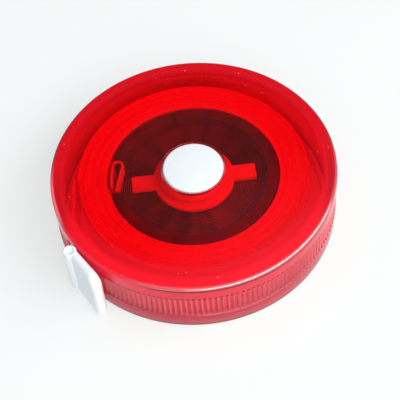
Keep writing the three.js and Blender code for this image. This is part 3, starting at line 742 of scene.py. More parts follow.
@dataclass
class Shape:
    """Points in millimetres with faces, and an optional map along a strip."""

    points: Array
    faces: list[tuple[int, ...]]
    strip: Optional[Array] = None

    @staticmethod
    def grid(points: Array, wrap_rows: bool, wrap_columns: bool, strip: Optional[Array] = None) -> "Shape":
        """Surface through a grid of points, closed round where it wraps.

        Args:
            points: rows by columns by three.
            wrap_rows: the last row meets the first.
            wrap_columns: the last column meets the first.
            strip: rows by columns by two, the map along a strip.

        Returns:
            The surface.
        """
        rows, columns = points.shape[:2]
        row = np.arange(rows if wrap_rows else rows - 1)
        column = np.arange(columns if wrap_columns else columns - 1)
        a, b = np.meshgrid(row, column, indexing="ij")
        c, d = (a + 1) % rows, (b + 1) % columns
        quads = np.stack([a * columns + b, a * columns + d, c * columns + d, c * columns + b], -1)
        mapped = None if strip is None else strip.reshape(-1, 2)
        return Shape(points.reshape(-1, 3), list(map(tuple, quads.reshape(-1, 4).tolist())), mapped)

    @staticmethod
    def turned(outline: Array, columns: int, centre: Sequence[float] = (0.0, 0.0)) -> "Shape":
        """Outline of radius and height carried once round an upright axis: r cos a, r sin a, z."""
        angle = np.arange(columns) * TAU / columns
        points = polar(outline[:, :1], angle[None], outline[:, 1:])
        return Shape.grid(points + np.array([*centre, 0.0]), True, True)

    @staticmethod
    def post(
        radius: float, heights: Span, columns: int, centre: Sequence[float], edges: Span = (0.0, 0.0)
    ) -> "Shape":
        """Upright round post, its lower and upper edges eased by a radius each."""
        low, high = heights
        outline = [(0.0, low, 0.0), (radius, low, edges[0]), (radius, high, edges[1]), (0.0, high, 0.0)]
        return Shape.turned(eased_outline(outline), columns, centre)

    @staticmethod
    def swept(path: Array, section: Array, along: Optional[Array] = None) -> "Shape":
        """Section carried along a path, with flat ends.

        Each row is the path's point plus the section's first number sideways, level and square to
        the path, and its second number square to both.

        Args:
            path: points of the path.
            section: sideways and upward numbers of the section's outline.
            along: distance of each path point along the strip, if it is mapped.

        Returns:
            The closed body.
        """
        ahead = unit(np.gradient(path, axis=0))
        side = unit(np.stack([ahead[:, 1], -ahead[:, 0], np.zeros(len(path))], -1))
        up = np.cross(side, ahead)
        points = path[:, None] + side[:, None] * section[None, :, :1] + up[:, None] * section[None, :, 1:]
        strip = None
        if along is not None:
            across = (section[:, 1] - section[:, 1].min()) / np.ptp(section[:, 1])
            strip = np.stack(np.broadcast_arrays(along[:, None], across[None]), -1)
        body = Shape.grid(points, False, True, strip)
        count, start = len(section), (len(path) - 1) * len(section)
        body.faces += [tuple(range(count)), tuple(range(start + count - 1, start - 1, -1))]
        return body

    @staticmethod
    def prism(outline: Array, low: float, top: float) -> "Shape":
        """Flat outline raised between two heights."""
        levels = np.array([low, top])[:, None, None]
        plan = np.broadcast_to(outline, (2, *outline.shape))
        points = np.concatenate([plan, np.broadcast_to(levels, (2, len(outline), 1))], -1)
        body = Shape.grid(points, False, True)
        count = len(outline)
        body.faces += [tuple(range(count - 1, -1, -1)), tuple(range(count, 2 * count))]
        return body

    def joined(self, other: "Shape") -> "Shape":
        """This shape and another one as two islands of one mesh."""
        shift = len(self.points)
        moved = [tuple(index + shift for index in face) for face in other.faces]
        strip = None
        if self.strip is not None and other.strip is not None:
            strip = np.concatenate([self.strip, other.strip])
        return Shape(np.concatenate([self.points, other.points]), self.faces + moved, strip)

    def mesh(self, name: str) -> bpy.types.Mesh:
        """The shape as a mesh in metres, its doubles merged and its faces turned outwards."""
        made = bpy.data.meshes.new(name)
        made.from_pydata((self.points * MM).tolist(), [], self.faces)
        if self.strip is not None:
            corner = np.zeros(len(made.loops), np.int32)
            made.loops.foreach_get("vertex_index", corner)
            layer = made.uv_layers.new(name="strip")
            layer.uv.foreach_set("vector", self.strip[corner].astype(np.float32).ravel())
        work = bmesh.new()
        work.from_mesh(made)
        bmesh.ops.remove_doubles(work, verts=work.verts, dist=MERGE)
        bmesh.ops.dissolve_degenerate(work, edges=work.edges, dist=MERGE)
        bare = [edge for edge in work.edges if not edge.link_faces]
        bmesh.ops.delete(work, geom=bare, context="EDGES")
        bmesh.ops.recalc_face_normals(work, faces=work.faces)
        work.to_mesh(made)
        work.free()
        return made

    def object(self, name: str) -> bpy.types.Object:
        """The shape as an object at the origin."""
        return linked(name, self.mesh(name))


def worked(target: bpy.types.Object, tool: Shape, cut: Cut) -> bpy.types.Object:
    """Cuts a solid away from an object, or joins it to it, and gives back the changed object."""
    helper = tool.object("tool")
    step = target.modifiers.new("work", "BOOLEAN")
    step.operation = cut.value
    step.object = helper
    step.solver = "MANIFOLD"
    graph = bpy.context.evaluated_depsgraph_get()
    changed = bpy.data.meshes.new_from_object(target.evaluated_get(graph))
    target.modifiers.clear()
    target.data = changed
    bpy.data.objects.remove(helper)
    return target


def dressed(target: bpy.types.Object, finish: Finish) -> bpy.types.Object:
    """Gives an object its finish and smooth shading between its sharp edges."""
    mesh = target.data
    mesh.materials.clear()
    mesh.materials.append(finish.material())
    mesh.polygons.foreach_set("material_index", np.zeros(len(mesh.polygons), np.int32))
    mesh.polygons.foreach_set("use_smooth", np.ones(len(mesh.polygons), bool))
    mesh.set_sharp_from_angle(angle=SHARP_ANGLE)
    mesh.update()
    LOG.info("%s: %d faces, %s", target.name, len(mesh.polygons), finish.name)
    return target


def settled(target: bpy.types.Object, finish: Finish, body: Body, *nodes: str) -> bpy.types.Object:
    """Dresses a piece, lets it ride on a body, and lets it stand for its solids."""
    dressed(target, finish)
    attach(target, body.value)
    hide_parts(*nodes)
    return target


def run_length(path: Array) -> Array:
    """Distance of each point along a path: the sum of the steps before it."""
    return np.concatenate([[0.0], np.cumsum(np.linalg.norm(np.diff(path, axis=0), axis=1))])


def strip_section(thickness: float, width: float, edge: float) -> Array:
    """Section of a flat strip with eased edges, its width upright."""
    corners = [(*corner, edge) for corner in oblong(thickness / 2.0, width / 2.0)]
    return eased_outline(corners, 2, edge / 4.0)


# The tape's straight way out of the case

@dataclass(frozen=True)
class Lead:
    """Line that the tape follows from the winding to the tab."""

    normal_angle: float = math.radians(177.6)
    distance: float = 21.005
    barrel_reach: float = 15.823

    @property
    def normal(self) -> Array:
        """Direction from the axis to the line."""
        return np.array([math.cos(self.normal_angle), math.sin(self.normal_angle), 0.0])

    @property
    def along(self) -> Array:
        """Direction in which the tape leaves."""
        return np.array([-math.sin(self.normal_angle), math.cos(self.normal_angle), 0.0])

    def at(self, reach: Array, height: float = 0.0) -> Array:
        """Points on the line at distances past the winding."""
        base = self.normal * self.distance + np.array([0.0, 0.0, height])
        return base + np.asarray(reach, float)[..., None] * self.along

    @property
    def barrel(self) -> Array:
        """Centre of the tab's barrel."""
        return self.at(np.array(self.barrel_reach))


LEAD = Lead()


@dataclass
class Case:
    """Two-part see-through case with a ribbed wall."""

    outer: float = 24.998
    inner: float = 23.398
    crest: float = 24.9
    rib_depth: float = 0.4
    ribs: int = 170
    rib_columns: int = 6
    floor: float = 1.2
    seam: float = 2.0
    rib_low: float = 3.3
    rib_top: float = 8.2
    rib_gap: float = 0.1
    scoop: float = 0.9
    ceiling: float = 10.2
    top: float = 11.4
    edge: float = 0.5
    hole: float = 5.6
    shoulder: Span = (3.8, 2.65)
    post: Span = (1.8, 2.9)
    neck: Triple = (2.4, 7.5, 8.6)
    spigot: Triple = (22.498, 23.098, 3.2)
    slot_half: float = 0.8075
    slot_heights: Span = (1.2, 9.8)
    slot_reach: Span = (8.0, 16.5)
    split_half: Span = (0.6, 4.8)
    split_top: float = 9.0
    lower_columns: int = 480

    def slot(self) -> Shape:
        """Slot for the tape: a straight bar through the wall."""
        path = LEAD.at(np.array(self.slot_reach), sum(self.slot_heights) / 2.0)
        half = (self.slot_heights[1] - self.slot_heights[0]) / 2.0
        return Shape.swept(path, oblong(self.slot_half, half))

    def cover_shape(self) -> Shape:
        """Cover: outline carried round, its wall drawn in by a sharp wave of ribs.

        The radius falls by the rib depth times a triangle wave of the angle, times an elliptic scoop
        that closes each groove at both ends.
        """
        rise = self.scoop * (1.0 - np.cos(np.linspace(0.0, math.pi / 2.0, 7)))
        rows = np.concatenate([self.rib_low + rise, self.rib_top - rise[::-1]])
        outline = eased_outline([
            (self.inner, self.seam, 0.05),
            (self.outer, self.seam, 0.1),
            (self.outer, self.rib_low - self.rib_gap, 0.03),
            *((self.crest, row, 0.0) for row in rows),
            (self.outer, self.rib_top + self.rib_gap, 0.03),
            (self.outer, self.top, self.edge),
            (self.hole, self.top, 0.16),
            (self.hole, self.ceiling, 0.08),
            (self.inner, self.ceiling, 0.35),
        ])
        columns = self.ribs * self.rib_columns
        angle = np.arange(columns) * TAU / columns
        groove = 1.0 - abs(2.0 * np.mod(angle * self.ribs / TAU, 1.0) - 1.0)
        radius, height = outline[:, :1], outline[:, 1:]
        to_end = np.minimum(height - self.rib_low, self.rib_top - height)
        climb = 1.0 - np.clip(to_end / self.scoop, 0.0, 1.0)
        depth = self.rib_depth * np.sqrt(1.0 - climb**2)
        on_wall = (radius > self.crest - self.rib_gap) & (to_end >= 0.0)
        points = polar(radius - np.where(on_wall, depth, 0.0) * groove[None], angle[None], height)
        return Shape.grid(points, True, True)

    def base_shape(self) -> Shape:
        """Base: floor, wall, spigot and post, turned from one outline."""
        low, high, top = self.spigot
        shoulder, shoulder_top = self.shoulder
        bore, post = self.post
        neck, neck_low, neck_top = self.neck
        return Shape.turned(eased_outline([
            (0.0, 0.0, 0.0),
            (self.outer, 0.0, self.edge),
            (self.outer, self.seam, 0.14),
            (high, self.seam, 0.05),
            (high, top, 0.1),
            (low, top, 0.1),
            (low, self.floor, 0.3),
            (shoulder, self.floor, 0.2),
            (shoulder, shoulder_top, 0.05),
            (post, shoulder_top, 0.05),
            (post, neck_low, 0.05),
            (neck, neck_low, 0.05),
            (neck, neck_top, 0.12),
            (bore, neck_top, 0.08),
            (bore, self.floor, 0.1),
            (0.0, self.floor, 0.0),
        ]), self.lower_columns)

    def build(self) -> None:
        """Cuts the slot and the post's split, and dresses both parts."""
        cover = worked(self.cover_shape().object("cover_shell"), self.slot(), Cut.AWAY)
        settled(cover, RED, Body.CASE, "upper_case")
        base = worked(self.base_shape().object("base_shell"), self.slot(), Cut.AWAY)
        worked(base, Shape.prism(oblong(*self.split_half), self.floor, self.split_top), Cut.AWAY)
        settled(base, RED, Body.CASE, "lower_case")


@dataclass
class Button:
    """Push button, its return spring, and the brake that it carries."""

    radius: float = 5.3
    top: float = 11.8
    dome: float = 0.25
    dome_shares: tuple[float, ...] = (0.92, 0.75, 0.55, 0.35, 0.15)
    under: float = 10.8
    skirt: float = 4.5
    flange: Triple = (6.2, 9.2, 10.1)
    flange_edge: float = 0.3
    stem: float = 1.4
    tip: float = 0.6
    yoke: Span = (2.05, 2.55)
    yoke_radii: Span = (4.2, 8.5)
    yoke_bar: Span = (0.5, 6.0)
    yoke_edges: Span = (0.08, 0.1)
    yoke_eye: float = 0.7
    pad: Triple = (4.55, 8.15, 2.9)
    pad_edge: float = 0.1
    coil_radius: float = 3.6
    coil_wire: float = 0.35
    coil_heights: Span = (8.3, 10.8)
    coil_turns: float = 3.5
    coil_closing: float = 0.6
    coil_steps: int = 48
    coil_sides: int = 12
    travel: float = 0.8
    columns: int = 192

    def cap(self) -> Shape:
        """Button: dome whose height falls with the square of the radius, skirt, flange and stem."""
        low, high = self.yoke
        wide, flange_low, flange_top = self.flange
        dome = [(self.radius * s, self.top - self.dome * s * s, 0.0) for s in self.dome_shares]
        return Shape.turned(eased_outline([
            (0.0, low, 0.0),
            (self.tip, low, 0.05),
            (self.tip, high, 0.0),
            (self.stem, high, 0.05),
            (self.stem, self.under, 0.2),
            (self.skirt, self.under, 0.2),
            (self.skirt, flange_low, 0.05),
            (wide, flange_low, 0.08),
            (wide, flange_low + self.flange_edge, 0.08),
            (self.radius, flange_top, 0.05),
            (self.radius, self.top - self.dome, 0.34),
            *dome,
            (0.0, self.top, 0.0),
        ], 6), self.columns)

    def coil(self) -> Shape:
        """Return spring: a helix whose climb eases in and out at its closed ends."""
        wire = self.coil_wire / 2.0
        share = np.linspace(0.0, 1.0, int(self.coil_turns * self.coil_steps))
        eased = share - np.sin(TAU * share) / TAU * self.coil_closing
        low, high = self.coil_heights[0] + wire, self.coil_heights[1] - wire
        path = polar(self.coil_radius, TAU * self.coil_turns * share, low + (high - low) * eased)
        turn = np.arange(self.coil_sides) * TAU / self.coil_sides
        return Shape.swept(path, wire * np.stack([np.cos(turn), np.sin(turn)], -1))

    def hoop(self, inner: float, outer: float, low: float, top: float, edge: float = 0.0) -> Shape:
        """Flat ring with eased edges."""
        corners = [(inner, low, edge), (outer, low, edge), (outer, top, edge), (inner, top, edge)]
        return Shape.turned(eased_outline(corners, 3), self.columns)

    def build(self) -> None:
        """Makes the button, the spring, the yoke with its cross bar, and the felt."""
        settled(self.cap().object("button_cap"), WHITE, Body.BUTTON, "push_button")
        coil = settled(self.coil().object("return_coil"), WIRE, Body.CASE, "return_spring")
        low, high = self.coil_heights
        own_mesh(coil)
        inner, outer = self.yoke_radii
        ring_edge, bar_edge = self.yoke_edges
        yoke = self.hoop(inner, outer, *self.yoke, ring_edge).object("brake_ring")
        plan = eased_outline([(*corner, bar_edge) for corner in oblong(*self.yoke_bar)])
        worked(yoke, Shape.prism(plan, *self.yoke), Cut.TOGETHER)
        worked(yoke, self.hoop(0.0, self.stem, *self.yoke), Cut.TOGETHER)
        low, high = self.yoke
        worked(yoke, self.hoop(0.0, self.yoke_eye, low - 1.0, high + 1.0), Cut.AWAY)
        settled(yoke, DARK, Body.BUTTON, "brake_yoke")
        inner, outer, top = self.pad
        pad = self.hoop(inner, outer, high, top, self.pad_edge)
        settled(pad.object("brake_felt"), FELT, Body.BUTTON, "brake_pad")


@dataclass
class Retainer:
    """White ring with two arms over the mainspring."""

    bore: float = 2.45
    ring: float = 7.1
    reach: float = 10.95
    half_width: float = 1.5
    angle: float = math.radians(2.0)
    heights: Span = (7.5, 8.3)
    blend: float = 0.12
    edge: float = 0.12
    columns: int = 1440

    def outline_radius(self, angle: Array) -> Array:
        """Radius of the outline at each angle.

        It is the greater of the ring's radius and the arms' radius, softened where they meet. An
        arm's radius is the lesser of its reach over the cosine and its half width over the sine.
        """
        turn = angle - self.angle
        end = self.reach / np.maximum(abs(np.cos(turn)), 1e-6)
        flank = self.half_width / np.maximum(abs(np.sin(turn)), 1e-6)
        arm = np.minimum(end, flank)
        peak = np.maximum(arm, self.ring)
        spread = np.exp((arm - peak) / self.blend) + np.exp((self.ring - peak) / self.blend)
        return np.where(arm > self.ring, arm, peak + self.blend * (np.log(spread)))

    def build(self) -> None:
        """Carries an eased edge round the outline and closes it at the bore."""
        corner = math.atan2(self.half_width, self.reach)
        special = self.angle + np.array([corner, -corner, math.pi + corner, math.pi - corner])
        even = np.arange(self.columns) * TAU / self.columns
        angle = np.unique(np.mod(np.concatenate([even, special]), TAU))
        rim = self.outline_radius(angle)
        low, high = self.heights
        turn = np.linspace(0.0, math.pi / 2.0, 4)
        leading, trailing = 1.0 - np.sin(turn), 1.0 - np.cos(turn)
        inset = np.concatenate([leading, trailing]) * self.edge
        rise = np.concatenate([low + self.edge * trailing, high - self.edge * leading])
        wall = polar(rim[None] - inset[:, None], angle[None], rise[:, None])
        middle = (self.bore + self.ring) / 2.0
        heights = np.array([high, high, low, low])
        radii = np.array([middle, self.bore, self.bore, middle])
        inside = polar(radii[:, None], angle[None], heights[:, None])
        shape = Shape.grid(np.concatenate([wall, inside]), True, True)
        # The retainer takes the brighter copy of the white moulding: painted light.
        settled(shape.object("spring_cross"), BRIGHTENED_WHITE, Body.CASE, "spring_retainer")


@dataclass
class Winding:
    """Spool, mainspring, and the tape that is wound on the spool."""

    wall: Span = (12.9, 14.8)
    skirt: Span = (14.0, 1.9)
    tape_heights: Span = (1.7, 9.3)
    tape_length: float = 1500.0
    web: Span = (2.95, 3.55)
    hub: tuple[float, float, float, float] = (3.0, 3.8, 2.65, 3.75)
    pack: Span = (14.9, 20.498)
    coil_turns: float = 12.976
    coil_steps: int = 150
    coil_drop: float = 0.08
    coil_edge: float = 0.05
    coil_wander: Span = (0.05, 0.03)
    wander_rates: Span = (0.73, 0.31)
    pitch: float = 0.415
    layer: float = 0.39
    anchor: Span = (-13.230, 3.299)
    anchor_turn: float = math.radians(166.0)
    anchor_orbit: float = 13.635
    pin: float = 0.45
    pin_edges: Span = (0.1, 0.15)
    socket: float = 0.55
    bend: float = 0.8575
    loop_length: float = 4.8
    loop_tail: float = 0.8
    loop_edge: float = 0.1
    loop_lift: float = 0.2
    tail_rise: float = 1.1
    window_margin: float = 0.5
    spring_turns: int = 23
    spring_steps: int = 96
    spring_radii: Span = (3.7, 12.76)
    spring_heights: Span = (3.8, 7.2)
    spring_strip: float = 0.2
    spring_edge: float = 0.08
    spring_bend: float = 0.6
    spring_root: float = 2.35
    slit_half: float = 0.425
    slit_floor: float = 0.5
    columns: int = 360

    def spring_angles(self) -> Triple:
        """Angles at which the spring starts, ends, and enters the spool's wall."""
        start = math.pi / 2.0 + self.spring_bend / self.spring_radii[0]
        end = start + self.spring_turns * TAU
        return start, end, end + self.spring_bend / self.spring_radii[1]

    def mainspring(self) -> Shape:
        """Flat spiral: the radius grows evenly with the angle, and both ends turn off radially."""
        start, end, slit = self.spring_angles()
        first, last = self.spring_radii
        share = np.linspace(0.0, 1.0, self.spring_turns * self.spring_steps)
        low, high = self.spring_heights
        level = (low + high) / 2.0
        path = np.concatenate([
            polar(np.array([self.spring_root, first - self.spring_bend]), math.pi / 2.0, level),
            polar(first + (last - first) * share, start + (end - start) * share, level),
            polar(np.array([last + self.spring_bend, sum(self.wall) / 2.0]), slit, level),
        ])
        return Shape.swept(path, strip_section(self.spring_strip, high - low, self.spring_edge))

    def spool(self) -> bpy.types.Object:
        """Spool turned from one outline, with the loop's window, the spring's slit and the pin's socket."""
        bore, hub, hub_low, hub_top = self.hub
        inner, outer = self.wall
        low, top = self.web
        high = self.tape_heights[1]
        made = Shape.turned(eased_outline([
            (bore, hub_low, 0.05),
            (hub, hub_low, 0.05),
            (hub, low, 0.1),
            (self.skirt[0], low, 0.1),
            (*self.skirt, 0.05),
            (outer, self.skirt[1], 0.08),
            (outer, high, 0.2),
            (inner, high, 0.2),
            (inner, top, 0.25),
            (hub, top, 0.1),
            (hub, hub_top, 0.05),
            (bore, hub_top, 0.05),
        ]), self.columns).object("spool")
        share = np.linspace(0.0, 1.0, 24)
        margin = self.window_margin / self.anchor_orbit
        first = self.anchor_turn - (self.bend + self.pitch / 2.0) / self.anchor_orbit - margin
        last = self.anchor_turn + (self.loop_length + self.loop_tail) / self.anchor_orbit + margin
        arc = first + (last - first) * share
        plan = np.concatenate([polar(outer + 1.0, arc, 0.0), polar(inner - 1.0, arc[::-1], 0.0)])[:, :2]
        worked(made, Shape.prism(plan, top, high + 1.0), Cut.AWAY)
        reach = np.array([inner - 1.0, outer - self.slit_floor])
        bar = polar(reach, self.spring_angles()[2], (top + high + 1.0) / 2.0)
        section = oblong(self.slit_half, (high + 1.0 - top) / 2.0)
        worked(made, Shape.swept(bar, section), Cut.AWAY)
        socket = Shape.post(self.socket, (low - 1.0, top + 1.0), 32, self.anchor)
        return worked(made, socket, Cut.AWAY)

    def tape_coil(self) -> Shape:
        """Wound tape: a spiral whose radius grows by one pitch a turn, its edge wandering a little."""
        turns = self.coil_turns
        share = np.linspace(0.0, 1.0, int(turns * self.coil_steps))
        radius = self.pack[0] + self.pitch / 2.0 + (self.pack[1] - self.pack[0] - self.pitch) * share
        angle = LEAD.normal_angle - turns * TAU * (1.0 - share)
        (size, rate), (less, slow) = zip(self.coil_wander, self.wander_rates)
        wander = size * np.sin(angle * rate) + less * np.sin(angle * slow + 1.0)
        low, high = self.tape_heights
        path = polar(radius, angle, (low + high) / 2.0 - self.coil_drop + wander)
        length = run_length(path)
        section = strip_section(self.layer, high - low - 2.0 * self.coil_drop, self.coil_edge)
        return Shape.swept(path, section, length[-1] - length)

    def tape_loop(self) -> Shape:
        """Inner end of the tape: along the winding, half round the pin and back to a short tail."""
        sweep = self.loop_length / self.anchor_orbit
        tail = sweep + self.loop_tail / self.anchor_orbit
        share = np.linspace(0.0, 1.0, 40)
        start, orbit = self.anchor_turn, self.anchor_orbit
        low, high = self.web[1] + self.loop_lift, self.tape_heights[1]
        level = (low + high) / 2.0
        turn = polar(self.bend, start - math.pi * share[1:-1], level)
        path = np.concatenate([
            polar(orbit + self.bend, start + sweep * (1.0 - share), level),
            turn + np.array([*self.anchor, 0.0]),
            polar(orbit - self.bend + self.tail_rise * share**2, start + tail * share, level),
        ])
        section = strip_section(self.pitch, high - low, self.loop_edge)
        return Shape.swept(path, section, run_length(path) + self.tape_length)

    def build(self) -> None:
        """Makes the spool, the pin, the tape and the mainspring."""
        settled(self.spool(), DARK, Body.DRUM, "drum")
        ends = (self.web[0], self.tape_heights[1])
        pin = Shape.post(self.pin, ends, 48, self.anchor, self.pin_edges)
        # The pin is darkened: painted shade inside the tape's loop.
        settled(pin.object("loop_pin"), SHADE_DARKENED_PIN, Body.DRUM, "anchor_pin")
        coil = self.tape_coil().object("tape_coil")
        settled(coil, BACK_CLOTH, Body.DRUM, "tape_core", "tape_outer_turn")
        settled(self.tape_loop().object("tape_loop"), BACK_CLOTH, Body.DRUM, "tape_inner_loop")
        settled(self.mainspring().object("mainspring_coil"), SPRING, Body.DRUM, "mainspring")


@dataclass
class PullTab:
    """Tape end with its hem and pin, and the white tab that swings on the pin."""

    tape_heights: Span = (1.7, 9.3)
    thickness: float = 0.415
    tape_edge: float = 0.1
    reach: float = 1500.0
    stretch: Span = (14.75, 15.15)
    stretch_rows: int = 150
    hem: Span = (0.35, 0.6)
    pin: float = 0.3
    pin_heights: Span = (1.4, 9.6)
    pin_edges: Span = (0.08, 0.08)
    barrel: float = 1.15
    barrel_edges: Span = (0.2, 0.2)
    bore: float = 0.7
    barrel_heights: Span = (1.1, 11.2)
    dish: Span = (0.88, 0.4)
    slit_room: Span = (0.1, 0.3)
    leaf_inward: float = 1.1
    leaf_outward: Span = (0.45, 1.0)
    leaf_length: float = 7.9
    leaf_heights: Span = (0.15, 11.2)
    leaf_corners: Span = (1.0, 2.0)
    leaf_edge: float = 0.95
    leaf_grid: tuple[int, int] = (73, 61)
    swing: float = math.radians(60.0)

    def tape(self) -> bpy.types.Object:
        """Tape from the winding to the hem.

        In the short stretch inside the barrel the rows stand where the smooth blend gives each an even
        share of the pull, so that the tape is evenly divided when it is pulled out.
        """
        start, end = self.stretch
        even = np.linspace(0.0, 1.0, self.stretch_rows + 1)
        share = 0.5 - np.sin(np.arcsin(1.0 - 2.0 * even) / 3.0)
        run = np.linspace(0.0, start, 30)[:-1]
        rest = np.linspace(end, LEAD.barrel_reach - self.hem[0], 4)[1:]
        reach = np.concatenate([run, start + (end - start) * share, rest])
        drawn = np.concatenate([run - start, even * self.reach, self.reach + rest - end])
        low, high = self.tape_heights
        path = LEAD.at(reach, (low + high) / 2.0)
        section = strip_section(self.thickness, high - low, self.tape_edge)
        strip = Shape.swept(path, section, self.reach - drawn)
        inner, outer = self.hem
        edge = self.tape_edge
        half = edge / 2.0
        corners = [(inner, low, half), (outer, low, edge), (outer, high, edge), (inner, high, half)]
        hem = Shape.turned(eased_outline(corners, 2), 32, LEAD.barrel[:2])
        hem.strip = np.full((len(hem.points), 2), 0.5)
        return strip.joined(hem).object("pulled_tape")

    def leaf(self) -> Shape:
        """Leaf: a flat pillow over length and height, beside the case wall.

        Its thickness is scaled by a quarter ellipse of the distance to the outline, so the faces meet in
        a round rim. The outline is a rectangle whose free corners are round: there the distance is the
        corner's radius less the distance from the corner's centre.
        """
        low, high = self.leaf_heights
        foot, head = self.leaf_corners
        rows, columns = self.leaf_grid
        across = np.sin(np.linspace(-math.pi / 2.0, math.pi / 2.0, rows))
        height = (low + high) / 2.0 + (high - low) / 2.0 * across[:, None]
        gaps = ((foot, height - low), (head, high - height))
        corners = [(radius, np.clip(radius - gap, 0.0, None)) for radius, gap in gaps]
        length = self.leaf_length
        for radius, past in corners:
            length = length - (radius - np.sqrt(np.maximum(radius**2 - past**2, 0.0)))
        reach = length * np.sin(np.linspace(0.0, math.pi / 2.0, columns))[None]
        to_rim = np.minimum(np.minimum(height - low, high - height), self.leaf_length - reach)
        for radius, past in corners:
            beyond = np.clip(reach - (self.leaf_length - radius), 0.0, None)
            in_corner = (beyond > 0.0) & (past > 0.0)
            to_rim = np.where(in_corner, radius - np.hypot(beyond, past), to_rim)
        gap = 1.0 - np.clip(to_rim / self.leaf_edge, 0.0, 1.0)
        swell = np.sqrt(np.maximum(1.0 - gap**2, 0.0))
        near, far = self.leaf_outward
        outward = near + (far - near) * reach / self.leaf_length
        middle, half = (outward - self.leaf_inward) / 2.0, (outward + self.leaf_inward) / 2.0
        away = unit(LEAD.barrel * np.array([1.0, 1.0, 0.0]))
        along = np.array([-away[1], away[0], 0.0])
        plan = LEAD.barrel + reach[..., None] * along + height[..., None] * np.array([0.0, 0.0, 1.0])
        outside = plan + (middle + half * swell)[..., None] * away
        inside = plan + (middle - half * swell)[..., None] * away
        root = np.stack([outside[:, 0], inside[:, 0]], 1)
        shape = Shape.grid(outside, False, False).joined(Shape.grid(inside, False, False))
        return shape.joined(Shape.grid(root, False, False))

    def tab(self) -> bpy.types.Object:
        """Leaf joined to the barrel, then bored, dished and slit for the tape."""
        centre = LEAD.barrel[:2]
        tube = Shape.post(self.barrel, self.barrel_heights, 64, centre, self.barrel_edges)
        made = worked(self.leaf().object("tab_leaf"), tube, Cut.TOGETHER)
        beside, above = self.slit_room
        low, high = self.tape_heights[0] - above, self.tape_heights[1] + above
        worked(made, Shape.post(self.bore, (-1.0, high), 48, centre), Cut.AWAY)
        wide, deep = self.dish
        turn = np.linspace(0.0, math.pi / 2.0, 10)
        top = self.barrel_heights[1]
        bowl = np.stack([wide * np.sin(turn), top - deep * np.cos(turn)], -1)
        bowl = np.concatenate([bowl, [[wide, top + 1.0], [0.0, top + 1.0]]])
        worked(made, Shape.turned(bowl, 48, centre), Cut.AWAY)
        margin = math.asin((self.thickness / 2.0 + beside) / self.bore)
        first = LEAD.normal_angle - math.pi / 2.0 - margin
        arc = first + (self.swing + 2.0 * margin) * np.linspace(0.0, 1.0, 16)
        fan = polar(self.barrel + 1.0, arc, 0.0) + LEAD.barrel
        plan = np.concatenate([LEAD.barrel[None], fan])[:, :2]
        return worked(made, Shape.prism(plan, low, high), Cut.AWAY)

    def build(self) -> None:
        """Makes the tape's end, the pin and the tab."""
        tape = dressed(self.tape(), CLOTH)
        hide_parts("tape_lead", "tape_tongue")
        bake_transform(tape)
        pin = Shape.post(self.pin, self.pin_heights, 32, LEAD.barrel[:2], self.pin_edges)
        settled(pin.object("hem_pin"), WIRE, Body.TAPE_END, "tab_pin")
        settled(self.tab(), WHITE, Body.TAB, "end_tab")


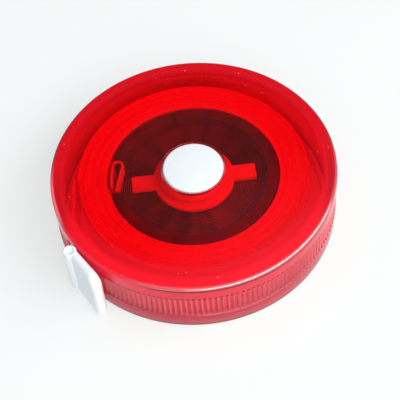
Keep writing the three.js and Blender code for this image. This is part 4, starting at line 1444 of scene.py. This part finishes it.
@dataclass
class Studio:
    """Pale table, soft light and the camera."""

    table_size: float = 4000.0
    table_drop: float = 0.02
    lamp_place: Triple = (262.0, -228.0, 330.0)
    lamp_size: Span = (1000.0, 340.0)
    lamp_power: float = 4.0
    lamp_colour: Triple = (1.0, 0.99, 0.97)
    sky: Colour = (0.49, 0.52, 0.54, 1.0)
    dim: Colour = (0.04, 0.04, 0.042, 1.0)
    glow: Colour = (0.6, 0.6, 0.80, 1.0)
    dim_towards: Triple = (-0.03, 0.60, 0.80)
    dim_angles: Span = (32.0, 15.0)
    glow_towards: Triple = (0.15, 0.33, 0.932)
    glow_angles: Span = (20.0, 4.0)
    camera_place: Triple = (0.699, -118.55, 163.55)
    camera_right: Triple = (0.99602, -0.07194, -0.05269)
    camera_up: Triple = (0.08917, 0.80359, 0.58855)
    camera_back: Triple = (0.0, -0.5909, 0.80675)
    bounces: int = 20
    lens: float = 99.9
    sensor: float = 36.0
    clip: float = 10.0

    def table(self) -> None:
        """Flat table under the object."""
        side = np.linspace(-self.table_size, self.table_size, 3)
        x, y = np.meshgrid(side, side)
        made = Shape.grid(np.stack([x, y, 0.0 * x - self.table_drop], -1), False, False).object("table")
        made.data.materials.append(TABLE.material())

    def light(self) -> None:
        """Even sky with a dim patch over the back, a soft glow beside it, and one broad lamp."""
        world = bpy.data.worlds.new("studio")
        bpy.context.scene.world = world
        world.use_nodes = True
        graph = Graph(world.node_tree)
        view = graph.node("ShaderNodeTexCoord", output="Generated")
        dim = graph.patch(view, self.dim_towards, self.dim_angles)
        glow = graph.patch(view, self.glow_towards, self.glow_angles)
        colour = graph.layered(self.sky, (dim, self.dim), (glow, self.glow))
        graph.end("ShaderNodeOutputWorld", graph.node("ShaderNodeBackground", inputs={"Color": colour}))
        lamp = bpy.data.lights.new("broad_lamp", "AREA")
        lamp.shape = "RECTANGLE"
        lamp.size, lamp.size_y = (side * MM for side in self.lamp_size)
        lamp.energy = self.lamp_power
        lamp.color = self.lamp_colour
        held = linked("broad_lamp", lamp)
        place = np.array(self.lamp_place)
        back = unit(place)
        right = unit(np.cross(np.array([0.0, 0.0, 1.0]), back))
        self.pose(held, right, np.cross(back, right), back, place)

    def pose(self, held: bpy.types.Object, right: Array, up: Array, back: Array, place: Array) -> None:
        """Places an object by its three axes and its place in millimetres."""
        turn = np.eye(4)
        turn[:3, :3] = np.stack([right, up, back], -1)
        turn[:3, 3] = np.asarray(place) * MM
        held.matrix_world = Matrix(turn.tolist())

    def camera(self) -> None:
        """Camera at the photograph's angle."""
        lens = bpy.data.cameras.new("camera")
        lens.lens = self.lens
        lens.sensor_width = self.sensor
        lens.clip_start = self.clip * MM
        held = linked("camera", lens)
        axes = (np.array(a) for a in (self.camera_right, self.camera_up, self.camera_back))
        self.pose(held, *axes, np.array(self.camera_place))
        bpy.context.scene.camera = held

    def build(self) -> None:
        """Sets up the table, the light and the camera."""
        scene = bpy.context.scene
        scene.view_settings.view_transform = "Standard"
        scene.cycles.blur_glossy = 0.0
        scene.cycles.max_bounces = self.bounces
        scene.cycles.transmission_bounces = self.bounces
        scene.cycles.diffuse_bounces = self.bounces // 2
        scene.cycles.glossy_bounces = self.bounces // 2
        self.table()
        self.light()
        self.camera()


def main() -> None:
    """Builds every part in order."""
    logging.basicConfig(level=logging.INFO, format="%(name)s: %(message)s")
    for part in (Studio(), Case(), Button(), Retainer(), Winding(), PullTab()):
        LOG.info("building %s", type(part).__name__)
        part.build()


if __name__ == "__main__":
    main()
